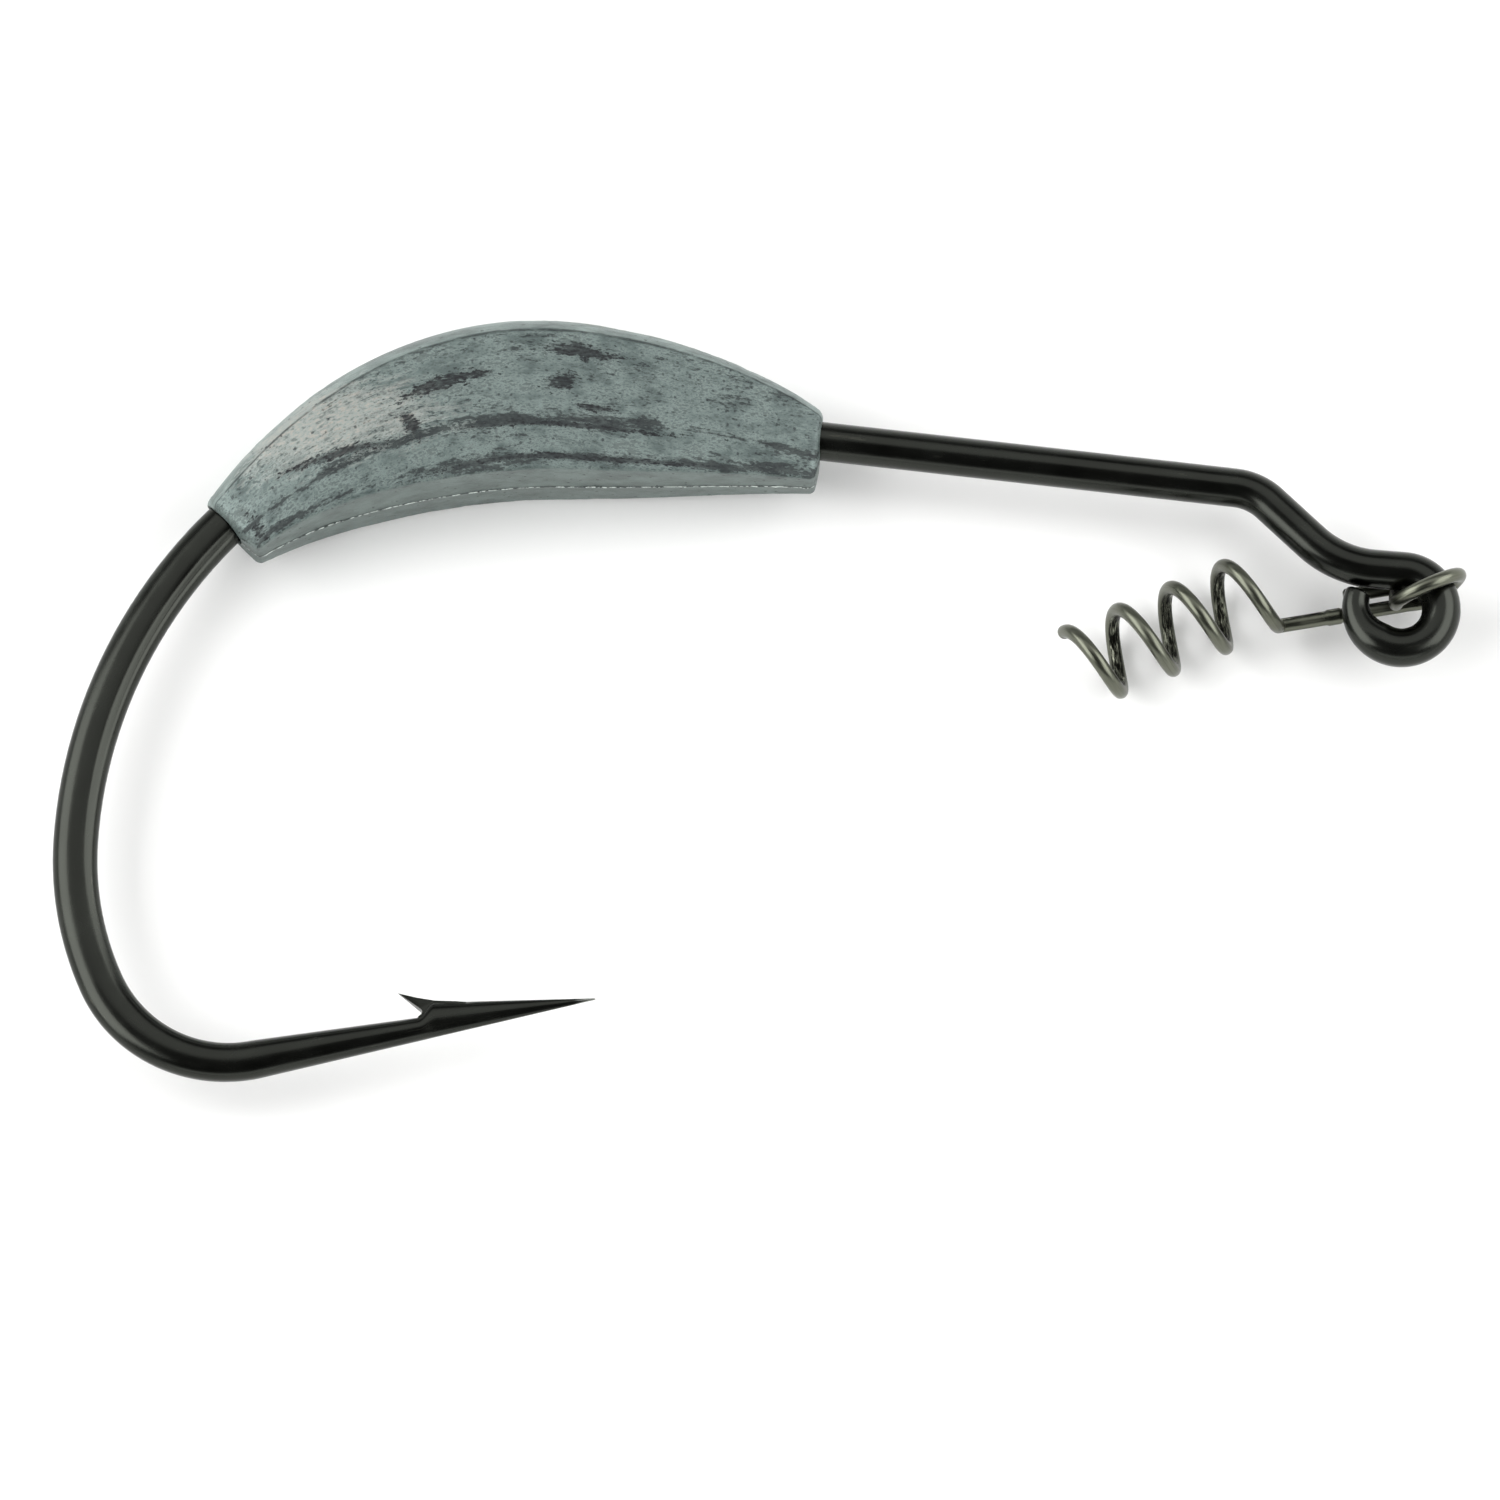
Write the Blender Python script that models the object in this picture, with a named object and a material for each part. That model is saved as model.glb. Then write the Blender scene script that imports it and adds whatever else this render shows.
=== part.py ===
"""Belly-weighted wide-gap hook with a screw-lock bait keeper, lying on its side.

The hook is bent from one wire in the XY plane. The origin is the centre of its eye, where the
line ties on. +X runs forward out of the eye, +Y towards the hook's back and +Z across the hook.
"""

from math import ceil, cos, log, pi, radians, sin

import bmesh
import bpy
from mathutils import Vector

MM = 0.001

# Hook wire
WIRE_DIAMETER = 1.95 * MM
WIRE_SIDES = 14
BEND_STEP = radians(6)
SHARP_EDGE = radians(35)

# Eye: a round loop whose end is drawn thinner and closes under the neck
EYE_HOLE_DIAMETER = 2.05 * MM
EYE_RADIUS = (EYE_HOLE_DIAMETER + WIRE_DIAMETER) / 2
EYE_END_DIAMETER = 1.3 * MM
EYE_END_ANGLE = radians(156)
EYE_THINNED_SWEEP = radians(85)
EYE_LEAVE_ANGLE = radians(85.2)
EYE_STEP = radians(12)

# Straights and bends after the eye, in the order that the wire meets them
NECK_LENGTH = 1.5 * MM
NECK_BEND_RADIUS = 5.2 * MM
NECK_BEND_ANGLE = radians(39)
RAMP_LENGTH = 2.9 * MM
OFFSET_BEND_RADIUS = 3.0 * MM
OFFSET_BEND_ANGLE = radians(37.1)
SHANK_LENGTH = 33.65 * MM
BELLY_BEND_RADIUS = 21.0 * MM
BELLY_BEND_ANGLE = radians(55.2)
UPPER_BEND_RADIUS = 25.6 * MM
UPPER_BEND_ANGLE = radians(38.2)
MIDDLE_BEND_RADIUS = 16.1 * MM
MIDDLE_BEND_ANGLE = radians(26.7)
LOWER_BEND_RADIUS = 6.85 * MM
LOWER_BEND_ANGLE = radians(78.3)
SPEAR_LENGTH = 17.3 * MM

# The bends below the weight are forged: pressed flat, which widens the wire in the hook's plane
FORGED_WIDTH = 2.25 * MM
FORGED_THICKNESS = 1.65 * MM
FORGED_SQUARENESS = 3.2
FORGING_RUN_IN = 5.0 * MM

# Point and barb: lengths back from the tip, heights above the spear's centre line
NOTCH_FROM_TIP = 9.1 * MM
NOTCH_HEIGHT = 0.47 * MM
BARB_ROOT_FROM_TIP = 8.0 * MM
BARB_ROOT_HEIGHT = 1.09 * MM
BARB_LENGTH = 1.6 * MM
BARB_RISE = 0.8 * MM
BARB_WIDTH = 0.7 * MM
BARB_EDGE = 0.1 * MM
BARB_UNDERCUT = 0.7
BARB_FRONT_REACH = 0.9
BARB_FRONT_DEPTH = 0.6
POINT_DROP = 0.36 * MM
POINT_THICKNESS = 1.15 * MM
TIP_SIZE = 0.08 * MM

# Belly weight, cast round the shank: heights are measured from the wire's centre line
WEIGHT_FROM_OFFSET_BEND = 20.9 * MM
WEIGHT_LENGTH = 31.5 * MM
WEIGHT_HALF_WIDTH = 3.0 * MM
WEIGHT_BACK_HEIGHT = 4.58 * MM
WEIGHT_BELLY_HEIGHT = 4.15 * MM
END_SIDE_WALL = 0.42 * MM
END_BACK_WALL = 0.42 * MM
END_BELLY_WALL = 1.5 * MM
WEIGHT_END_HALF_WIDTH = WIRE_DIAMETER / 2 + END_SIDE_WALL
WEIGHT_BACK_END_HEIGHT = WIRE_DIAMETER / 2 + END_BACK_WALL
WEIGHT_BELLY_END_HEIGHT = WIRE_DIAMETER / 2 + END_BELLY_WALL
BELLY_PEAK = 0.57
BELLY_FULLNESS = 1.1
BACK_PEAK = 0.41
BACK_FULLNESS = 1.1
WIDTH_PEAK = 0.6
WIDTH_FULLNESS = 0.6
SIDE_FLATTENING = 1.12
BACK_CROWN = 0.37
BACK_SQUARENESS = 0.8
BELLY_CROWN = 0.04
CROWN_STEPS = 4
WEIGHT_STATIONS = 24
WEIGHT_EDGE_ROUNDING = 0.22 * MM
ROUNDED_ABOVE = radians(40)
CASTING_GAP = 0.05 * MM
CHANNEL_OVERRUN = 1.5 * MM

# Keeper spring, bent from one wire: a coil, a straight leg and a ring round the eye's wire
SPRING_DIAMETER = 0.72 * MM
COIL_RADIUS = 1.92 * MM
COIL_PITCH = 2.87 * MM
COIL_TURNS = 3.545
COIL_AXIS_ANGLE = radians(23.4)
COIL_END_FROM_EYE = Vector((-6.87, 1.2, 0)) * MM
COIL_STEP = radians(18)
CORNER_POINTS = 5
LEG_STRAIGHT_FROM = 0.14
LEG_STRAIGHT_TO = 0.85
RING_PLAY = 0.4 * MM
RING_RADIUS = (WIRE_DIAMETER + SPRING_DIAMETER) / 2 + RING_PLAY
RING_DIRECTION = radians(24)
RING_HOLE_GAP = 0.235 * MM
RING_OFFSET = (EYE_HOLE_DIAMETER - SPRING_DIAMETER) / 2 - RING_HOLE_GAP
RING_LEAN = 0.14
RING_CLEARANCE = 0.06 * MM
RING_STEP = radians(12)
RING_LEG_DROP = 0.35 * MM
RING_LIFT_START = 0.2
RING_LIFT_END = 0.75
TAIL_LENGTH = 3.9 * MM
TAIL_GAP = 0.29 * MM


def clear_scene():
    for obj in list(bpy.data.objects):
        bpy.data.objects.remove(obj, do_unlink=True)


def material(name, colour, metallic, roughness):
    made = bpy.data.materials.new(name)
    made.use_nodes = True
    shader = made.node_tree.nodes["Principled BSDF"]
    shader.inputs["Base Color"].default_value = (*colour, 1)
    shader.inputs["Metallic"].default_value = metallic
    shader.inputs["Roughness"].default_value = roughness
    return made


def add_object(name, data, look):
    obj = bpy.data.objects.new(name, data)
    bpy.context.scene.collection.objects.link(obj)
    data.materials.append(look)
    return obj


def hide_helper(obj):
    obj.hide_render = True
    obj.display_type = "WIRE"


def smooth_step(value):
    value = min(max(value, 0.0), 1.0)
    return value * value * (3 - 2 * value)


def mix(first, second, share):
    return first + (second - first) * share


def hump(share, peak_share, fullness):
    """0 at both ends and 1 at peak_share; a lower fullness gives a flatter top."""
    from_start = min(max(share, 0.0), 1.0) ** (log(0.5) / log(peak_share))
    return max(sin(pi * from_start), 0.0) ** fullness


# ---------------------------------------------------------------- hook


def hook_runs():
    """(straight length, bend radius, bend angle) of each run; a positive angle turns left."""
    return [
        (NECK_LENGTH, NECK_BEND_RADIUS, -NECK_BEND_ANGLE),
        (RAMP_LENGTH, OFFSET_BEND_RADIUS, OFFSET_BEND_ANGLE),
        (SHANK_LENGTH, BELLY_BEND_RADIUS, BELLY_BEND_ANGLE),
        (0.0, UPPER_BEND_RADIUS, UPPER_BEND_ANGLE),
        (0.0, MIDDLE_BEND_RADIUS, MIDDLE_BEND_ANGLE),
        (0.0, LOWER_BEND_RADIUS, LOWER_BEND_ANGLE),
        (SPEAR_LENGTH, 0.0, 0.0),
    ]


def length_of(runs):
    return sum(straight + radius * abs(angle) for straight, radius, angle in runs)


def place_on_hook(distance):
    """Position and heading of the centre line, this far along the wire from the eye."""
    position = EYE_RADIUS * Vector((cos(EYE_LEAVE_ANGLE), sin(EYE_LEAVE_ANGLE), 0))
    heading = EYE_LEAVE_ANGLE + pi / 2
    for straight, radius, angle in hook_runs():
        ahead = min(distance, straight)
        position += ahead * Vector((cos(heading), sin(heading), 0))
        distance -= ahead
        bent = min(distance, radius * abs(angle))
        if bent > 0:
            signed_radius = radius if angle > 0 else -radius
            after = heading + bent / signed_radius
            position += signed_radius * Vector(
                (sin(after) - sin(heading), cos(heading) - cos(after), 0)
            )
            heading = after
            distance -= bent
    return position, heading


HOOK_LENGTH = length_of(hook_runs())
SHANK_START = length_of(hook_runs()[:2])
LOWER_BEND_START = length_of(hook_runs()[:5])
SPEAR_START = length_of(hook_runs()[:6])
WEIGHT_START = SHANK_START + WEIGHT_FROM_OFFSET_BEND
WEIGHT_END = WEIGHT_START + WEIGHT_LENGTH
FORGING_START = WEIGHT_END - FORGING_RUN_IN


def spear_section(to_tip):
    """Heights on the gape side and the outer side of the centre line, and half the thickness."""
    base = WIRE_DIAMETER / 2
    outer = mix(POINT_DROP + TIP_SIZE / 2, base, to_tip / SPEAR_LENGTH)
    if to_tip >= NOTCH_FROM_TIP:
        behind = (to_tip - NOTCH_FROM_TIP) / (SPEAR_LENGTH - NOTCH_FROM_TIP)
        return mix(NOTCH_HEIGHT, base, behind), outer, mix(POINT_THICKNESS, FORGED_THICKNESS, behind) / 2
    if to_tip >= BARB_ROOT_FROM_TIP:
        up = (NOTCH_FROM_TIP - to_tip) / (NOTCH_FROM_TIP - BARB_ROOT_FROM_TIP)
        return mix(NOTCH_HEIGHT, BARB_ROOT_HEIGHT, up), outer, POINT_THICKNESS / 2
    left = to_tip / BARB_ROOT_FROM_TIP
    return (
        mix(TIP_SIZE / 2 - POINT_DROP, BARB_ROOT_HEIGHT, left),
        outer,
        mix(TIP_SIZE, POINT_THICKNESS, left) / 2,
    )


def hook_section(distance):
    """(gape side height, outer side height, half thickness, squareness) of the wire."""
    if distance >= SPEAR_START:
        pressed = 1 - smooth_step((distance - SPEAR_START) / (SPEAR_LENGTH / 2))
        return (*spear_section(HOOK_LENGTH - distance), mix(2, FORGED_SQUARENESS, pressed))
    pressed = smooth_step((distance - FORGING_START) / FORGING_RUN_IN)
    narrowing = smooth_step((distance - LOWER_BEND_START) / (SPEAR_START - LOWER_BEND_START))
    widened = mix(WIRE_DIAMETER, FORGED_WIDTH, pressed)
    half_width = mix(widened, WIRE_DIAMETER, narrowing) / 2
    half_thickness = mix(WIRE_DIAMETER, FORGED_THICKNESS, pressed) / 2
    return half_width, half_width, half_thickness, mix(2, FORGED_SQUARENESS, pressed)


def wire_ring(position, heading, section, gap=0.0):
    """One closed row of points round the wire, square to its heading."""
    inner, outer, half_thickness, squareness = section
    gape_side = Vector((-sin(heading), cos(heading), 0))
    middle = position + gape_side * (inner - outer) / 2
    power = 2 / squareness
    ring = []
    for index in range(WIRE_SIDES):
        turn = 2 * pi * index / WIRE_SIDES
        across = abs(cos(turn)) ** power * ((inner + outer) / 2 + gap)
        through = abs(sin(turn)) ** power * (half_thickness + gap)
        level = Vector((0, 0, through if sin(turn) > 0 else -through))
        ring.append(middle + gape_side * (across if cos(turn) > 0 else -across) + level)
    return ring


def skin(name, rings):
    """A closed mesh over rows of points, with a flat cap on each end."""
    mesh = bmesh.new()
    rows = [[mesh.verts.new(point) for point in ring] for ring in rings]
    for row, after in zip(rows, rows[1:]):
        for index, corner in enumerate(row):
            beside = (index + 1) % len(row)
            mesh.faces.new((corner, row[beside], after[beside], after[index]))
    mesh.faces.new(reversed(rows[0]))
    mesh.faces.new(rows[-1])
    bmesh.ops.recalc_face_normals(mesh, faces=mesh.faces)
    data = bpy.data.meshes.new(name)
    mesh.to_mesh(data)
    mesh.free()
    data.shade_smooth()
    data.set_sharp_from_angle(angle=SHARP_EDGE)
    return data


def steps(start, end, count):
    return [mix(start, end, index / count) for index in range(count + 1)]


def hook_stations(start, end):
    """Distances for the rows of the wire between start and end, closer together in bends."""
    found = [start, end]
    covered = 0.0
    for straight, radius, angle in hook_runs():
        bend_start = covered + straight
        covered = bend_start + radius * abs(angle)
        found.append(bend_start)
        if angle:
            found += steps(bend_start, covered, ceil(abs(angle) / BEND_STEP))
    for to_tip in steps(BARB_ROOT_FROM_TIP, 0, 3) + steps(SPEAR_LENGTH, NOTCH_FROM_TIP, 4):
        found.append(HOOK_LENGTH - to_tip)
    return sorted({round(place, 7) for place in found if start <= place <= end})


def eye_rings():
    sweep = 2 * pi + EYE_LEAVE_ANGLE - EYE_END_ANGLE
    rings = []
    for turned in steps(0, sweep, ceil(sweep / EYE_STEP))[:-1]:
        angle = EYE_END_ANGLE + turned
        thick = smooth_step(turned / EYE_THINNED_SWEEP)
        radius = mix(EYE_END_DIAMETER, WIRE_DIAMETER, thick) / 2
        from_centre = EYE_RADIUS + WIRE_DIAMETER / 2 - radius
        position = from_centre * Vector((cos(angle), sin(angle), 0))
        rings.append(wire_ring(position, angle + pi / 2, (radius, radius, radius, 2)))
    return rings


def on_spear(to_tip, height, across=0.0):
    position, heading = place_on_hook(HOOK_LENGTH - to_tip)
    return position + height * Vector((-sin(heading), cos(heading), 0)) + Vector((0, 0, across))


def barb_blade(look):
    """A wedge raised out of the spear, leaning away from the tip."""
    tip = (BARB_ROOT_FROM_TIP + BARB_LENGTH, BARB_ROOT_HEIGHT + BARB_RISE)
    notch = (
        mix(BARB_ROOT_FROM_TIP, NOTCH_FROM_TIP, BARB_UNDERCUT),
        mix(BARB_ROOT_HEIGHT, NOTCH_HEIGHT, BARB_UNDERCUT),
    )
    buried = (BARB_ROOT_FROM_TIP, 0.0)
    front = (BARB_ROOT_FROM_TIP * BARB_FRONT_REACH, BARB_ROOT_HEIGHT * BARB_FRONT_DEPTH)
    root = (BARB_ROOT_FROM_TIP, BARB_ROOT_HEIGHT)
    mesh = bmesh.new()
    sides = []
    for side in (-1, 1):
        width = [(place, BARB_WIDTH / 2) for place in (notch, buried, front, root)]
        outline = [(tip, BARB_EDGE / 2)] + width
        sides.append([mesh.verts.new(on_spear(*place, side * half)) for place, half in outline])
    back, near = sides
    for index in range(len(back)):
        beside = (index + 1) % len(back)
        mesh.faces.new((back[index], back[beside], near[beside], near[index]))
    mesh.faces.new(back)
    mesh.faces.new(near)
    bmesh.ops.triangulate(mesh, faces=mesh.faces)
    bmesh.ops.recalc_face_normals(mesh, faces=mesh.faces)
    data = bpy.data.meshes.new("barb_blade")
    mesh.to_mesh(data)
    mesh.free()
    blade = add_object("barb_blade", data, look)
    hide_helper(blade)
    return blade


def forged_hook():
    look = material("black_nickel_steel", (0.03, 0.032, 0.032), 1.0, 0.22)
    rings = eye_rings()
    for distance in hook_stations(0, HOOK_LENGTH):
        rings.append(wire_ring(*place_on_hook(distance), hook_section(distance)))
    hook = add_object("forged_hook", skin("forged_hook", rings), look)
    joined = hook.modifiers.new("raised barb", "BOOLEAN")
    joined.operation = "UNION"
    joined.solver = "EXACT"
    joined.object = barb_blade(look)


# ---------------------------------------------------------------- belly weight


def weight_section(share):
    """(belly height, back height, half width) of the casting, this share along it."""
    belly_rise = WEIGHT_BELLY_HEIGHT - WEIGHT_BELLY_END_HEIGHT
    back_rise = WEIGHT_BACK_HEIGHT - WEIGHT_BACK_END_HEIGHT
    width_rise = WEIGHT_HALF_WIDTH - WEIGHT_END_HALF_WIDTH
    belly = WEIGHT_BELLY_END_HEIGHT + belly_rise * hump(share, BELLY_PEAK, BELLY_FULLNESS)
    back = WEIGHT_BACK_END_HEIGHT + back_rise * hump(share, BACK_PEAK, BACK_FULLNESS)
    # Where the swell would pass 1 the side is flat, so that the weight has a face to lie on.
    swell = min(SIDE_FLATTENING * hump(share, WIDTH_PEAK, WIDTH_FULLNESS), 1)
    width = WEIGHT_END_HALF_WIDTH + width_rise * swell
    return belly, back, width


def weight_ring(distance):
    position, heading = place_on_hook(distance)
    belly, back, half_width = weight_section((distance - WEIGHT_START) / WEIGHT_LENGTH)
    gape_side = Vector((-sin(heading), cos(heading), 0))
    back_crown = BACK_CROWN * half_width
    outline = [(belly, 0.0), (belly - BELLY_CROWN * half_width, half_width)]
    for step in range(CROWN_STEPS + 1):
        turn = pi / 2 * step / CROWN_STEPS
        across = half_width * max(cos(turn), 0.0) ** BACK_SQUARENESS
        outline.append((back_crown - back - back_crown * sin(turn), across))
    outline[-1] = (-back, 0.0)
    mirrored = [(height, -across) for height, across in reversed(outline[1:-1])]
    return [
        position + gape_side * height + Vector((0, 0, across))
        for height, across in outline + mirrored
    ]


def belly_weight():
    look = material("cast_lead", (0.29, 0.335, 0.315), 0.55, 0.5)
    rings = [weight_ring(place) for place in steps(WEIGHT_START, WEIGHT_END, WEIGHT_STATIONS)]
    weight = add_object("belly_weight", skin("belly_weight", rings), look)
    rounding = weight.modifiers.new("softened edges", "BEVEL")
    rounding.width = WEIGHT_EDGE_ROUNDING
    rounding.segments = 2
    rounding.limit_method = "ANGLE"
    rounding.angle_limit = ROUNDED_ABOVE

    channel_rings = []
    for distance in hook_stations(WEIGHT_START - CHANNEL_OVERRUN, WEIGHT_END + CHANNEL_OVERRUN):
        place = place_on_hook(distance)
        channel_rings.append(wire_ring(*place, hook_section(distance), CASTING_GAP))
    channel = add_object("shank_channel", skin("shank_channel", channel_rings), look)
    hide_helper(channel)
    cut = weight.modifiers.new("channel for the shank", "BOOLEAN")
    cut.operation = "DIFFERENCE"
    cut.solver = "EXACT"
    cut.object = channel


# ---------------------------------------------------------------- keeper spring


def direction(angle):
    return Vector((cos(angle), sin(angle), 0))


def ring_route():
    """The ring from the leg's end at the back, out past the eye, through it and back again.

    Its near point is as far from the eye's centre line as the eye's wire and the spring need.
    """
    along = direction(RING_DIRECTION)
    up = direction(RING_DIRECTION + pi / 2)
    far_reach = EYE_RADIUS + WIRE_DIAMETER / 2 + SPRING_DIAMETER / 2 + RING_CLEARANCE
    far_point = (far_reach**2 - RING_OFFSET**2) ** 0.5
    centre = along * (far_point - RING_RADIUS) + up * RING_OFFSET
    rise = SPRING_DIAMETER + TAIL_GAP - RING_LEG_DROP
    route = []
    for turned in steps(0, 2 * pi, round(2 * pi / RING_STEP)):
        place = turned - pi / 2
        level = RING_RADIUS * sin(place)
        depth = -level / RING_RADIUS if turned > pi else 0
        lifted = rise * smooth_step((depth - RING_LIFT_START) / (RING_LIFT_END - RING_LIFT_START))
        lifted -= RING_LEG_DROP * (1 - smooth_step(2 * turned / pi))
        route.append(
            centre
            + along * RING_RADIUS * cos(place)
            + up * (lifted - RING_LEAN * level)
            + Vector((0, 0, level))
        )
    return route


def coil_route():
    """The coil from its free end to its last turn, a right-handed helix."""
    along = direction(COIL_AXIS_ANGLE)
    up = direction(COIL_AXIS_ANGLE + pi / 2)
    # The coil lies on the plane that the weight's flat side lies on.
    level = SPRING_DIAMETER / 2 + COIL_RADIUS - WEIGHT_HALF_WIDTH
    axis_end = COIL_END_FROM_EYE + Vector((0, 0, level))
    last_turn = 2 * pi * COIL_TURNS
    route = []
    for turn in steps(0, last_turn, round(last_turn / COIL_STEP)):
        back = COIL_PITCH * (last_turn - turn) / (2 * pi)
        out = up * cos(turn) + Vector((0, 0, sin(turn)))
        route.append(axis_end - along * back + out * COIL_RADIUS)
    return route


def corner(before, start, end, after, count):
    """Points of a smooth turn from start to end, leaving and arriving in line with its sides."""
    reach = (end - start).length
    leaving = (start - before).normalized() * reach
    arriving = (after - end).normalized() * reach
    found = []
    for step in range(1, count):
        t = step / count
        found.append(
            start * (2 * t**3 - 3 * t**2 + 1)
            + leaving * (t**3 - 2 * t**2 + t)
            + end * (3 * t**2 - 2 * t**3)
            + arriving * (t**3 - t**2)
        )
    return found


def screw_lock_spring():
    look = material("bright_spring_wire", (0.42, 0.41, 0.38), 1.0, 0.2)
    coil = coil_route()
    ring = ring_route()
    leg = ring[0] - coil[-1]
    leg_start = coil[-1] + leg * LEG_STRAIGHT_FROM
    bend = corner(coil[-2], coil[-1], leg_start, leg_start + leg, CORNER_POINTS)
    tail_end = ring[-1] - leg.normalized() * TAIL_LENGTH
    route = coil + bend + [leg_start, coil[-1] + leg * LEG_STRAIGHT_TO] + ring + [tail_end]

    curve = bpy.data.curves.new("screw_lock_spring", "CURVE")
    curve.dimensions = "3D"
    curve.bevel_depth = SPRING_DIAMETER / 2
    curve.bevel_resolution = 2
    curve.use_fill_caps = True
    spline = curve.splines.new("POLY")
    spline.points.add(len(route) - 1)
    for point, place in zip(spline.points, route):
        point.co = (*place, 1)
    add_object("screw_lock_spring", curve, look)


clear_scene()
forged_hook()
belly_weight()
screw_lock_spring()
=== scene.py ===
"""A belly-weighted wide-gap hook with its screw-lock keeper, finished for display.

The frame's three solids are replaced by fine meshes of the same size in the same place: the
hook's wire, the lead cast round its shank and the keeper's spring wire. Lengths are in metres.
"""

from math import acos, ceil, cos, log, pi, radians, sin, sqrt

import bmesh
import bpy
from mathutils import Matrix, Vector, noise


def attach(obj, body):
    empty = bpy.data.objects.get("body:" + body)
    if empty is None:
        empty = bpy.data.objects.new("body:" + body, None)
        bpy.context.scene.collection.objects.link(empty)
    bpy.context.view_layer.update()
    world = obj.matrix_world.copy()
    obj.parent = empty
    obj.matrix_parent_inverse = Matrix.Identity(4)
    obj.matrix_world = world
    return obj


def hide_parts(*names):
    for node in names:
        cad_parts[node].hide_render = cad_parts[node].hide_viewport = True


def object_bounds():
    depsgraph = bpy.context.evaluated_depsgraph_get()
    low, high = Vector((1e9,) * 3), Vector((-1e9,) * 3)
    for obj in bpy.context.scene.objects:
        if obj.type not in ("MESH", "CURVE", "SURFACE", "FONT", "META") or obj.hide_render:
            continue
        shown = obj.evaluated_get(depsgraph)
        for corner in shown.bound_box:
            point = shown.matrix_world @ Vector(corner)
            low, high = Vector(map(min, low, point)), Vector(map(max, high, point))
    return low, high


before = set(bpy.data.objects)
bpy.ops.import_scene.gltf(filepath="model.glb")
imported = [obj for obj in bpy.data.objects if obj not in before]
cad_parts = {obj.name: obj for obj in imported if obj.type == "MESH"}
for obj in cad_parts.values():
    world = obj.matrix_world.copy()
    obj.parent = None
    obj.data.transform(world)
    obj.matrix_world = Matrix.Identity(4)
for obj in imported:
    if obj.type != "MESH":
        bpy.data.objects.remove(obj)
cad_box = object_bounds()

MM = 0.001
OBJECT_MIDDLE = (cad_box[0] + cad_box[1]) / 2

# Hook wire, bent in the XY plane from the eye at the origin
WIRE_DIAMETER = 1.95 * MM
WIRE_SIDES = 44
BEND_STEP = radians(1.8)
STRAIGHT_STEP = 0.6 * MM
EYE_HOLE_DIAMETER = 2.05 * MM
EYE_RADIUS = (EYE_HOLE_DIAMETER + WIRE_DIAMETER) / 2
EYE_END_DIAMETER = 1.3 * MM
EYE_END_ANGLE = radians(156)
EYE_END_ROUNDING = 0.16 * MM
EYE_THINNED_SWEEP = radians(85)
EYE_LEAVE_ANGLE = radians(85.2)
EYE_STEP = radians(3)
SPEAR_LENGTH = 17.3 * MM

# (straight length, bend radius, bend angle) of each run after the eye; a positive angle turns left
NECK = (1.5 * MM, 5.2 * MM, radians(-39))
RAMP = (2.9 * MM, 3.0 * MM, radians(37.1))
SHANK = (33.65 * MM, 21.0 * MM, radians(55.2))
UPPER_BEND = (0.0, 25.6 * MM, radians(38.2))
MIDDLE_BEND = (0.0, 16.1 * MM, radians(26.7))
LOWER_BEND = (0.0, 6.85 * MM, radians(78.3))
SPEAR = (SPEAR_LENGTH, 0.0, 0.0)
HOOK_RUNS = [NECK, RAMP, SHANK, UPPER_BEND, MIDDLE_BEND, LOWER_BEND, SPEAR]

# The bends below the weight are pressed flat, which widens the wire in the hook's plane
FORGED_WIDTH = 2.25 * MM
FORGED_THICKNESS = 1.65 * MM
FORGED_SQUARENESS = 2.15
FORGING_RUN_IN = 5.0 * MM
CREASE_LENGTH = 26.0 * MM
CREASE_DEPTH = 0.055 * MM
CREASE_TURN = radians(57)

# Point and barb: lengths back from the tip, heights above the spear's centre line
NOTCH_FROM_TIP = 8.95 * MM
NOTCH_HEIGHT = 0.47 * MM
BARB_ROOT_FROM_TIP = 8.0 * MM
BARB_ROOT_HEIGHT = 1.09 * MM
BARB_TIP = (9.6 * MM, 1.92 * MM)
BARB_UNDERSIDE = Vector((8.72 * MM, 0.88 * MM))
BARB_THROAT = Vector((8.46 * MM, 0.6 * MM))
BARB_FRONT = (6.4 * MM, 0.72 * MM)
BARB_BACK = [(7.1 * MM, 0.92 * MM), (7.9 * MM, 1.13 * MM), (8.76 * MM, 1.5 * MM)]
NOTCH_FLOOR_FROM_TIP = 8.88 * MM
NOTCH_FLOOR_SINK = 0.02 * MM
BARB_HALF_WIDTH = 0.36 * MM
BARB_EDGE = 0.035 * MM
POINT_DROP = 0.36 * MM
POINT_THICKNESS = 1.15 * MM
TIP_SIZE = 0.08 * MM
TIP_ROUNDING = 0.05 * MM

# Belly weight: heights are measured from the wire's centre line
WEIGHT_FROM_OFFSET_BEND = 20.9 * MM
WEIGHT_LENGTH = 31.5 * MM
WEIGHT_HALF_WIDTH = 3.0 * MM
WEIGHT_BACK_HEIGHT = 4.58 * MM
WEIGHT_BELLY_HEIGHT = 4.15 * MM
WEIGHT_END_HALF_WIDTH = WIRE_DIAMETER / 2 + 0.42 * MM
WEIGHT_BACK_END_HEIGHT = WIRE_DIAMETER / 2 + 0.42 * MM
WEIGHT_BELLY_END_HEIGHT = WIRE_DIAMETER / 2 + 1.5 * MM
WEIGHT_STATIONS = 190

# Where along the casting each measure is largest, and how full its profile is
BELLY_PEAK = 0.57
BACK_PEAK = 0.41
WIDTH_PEAK = 0.6
PROFILE_FULLNESS = 1.1
WIDTH_FULLNESS = 0.6
FULL_WIDTH_STRETCH = 1.12

# How far the ridge lies across a side, from the belly's edge to the back's
RIDGE_ACROSS = 0.35

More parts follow.
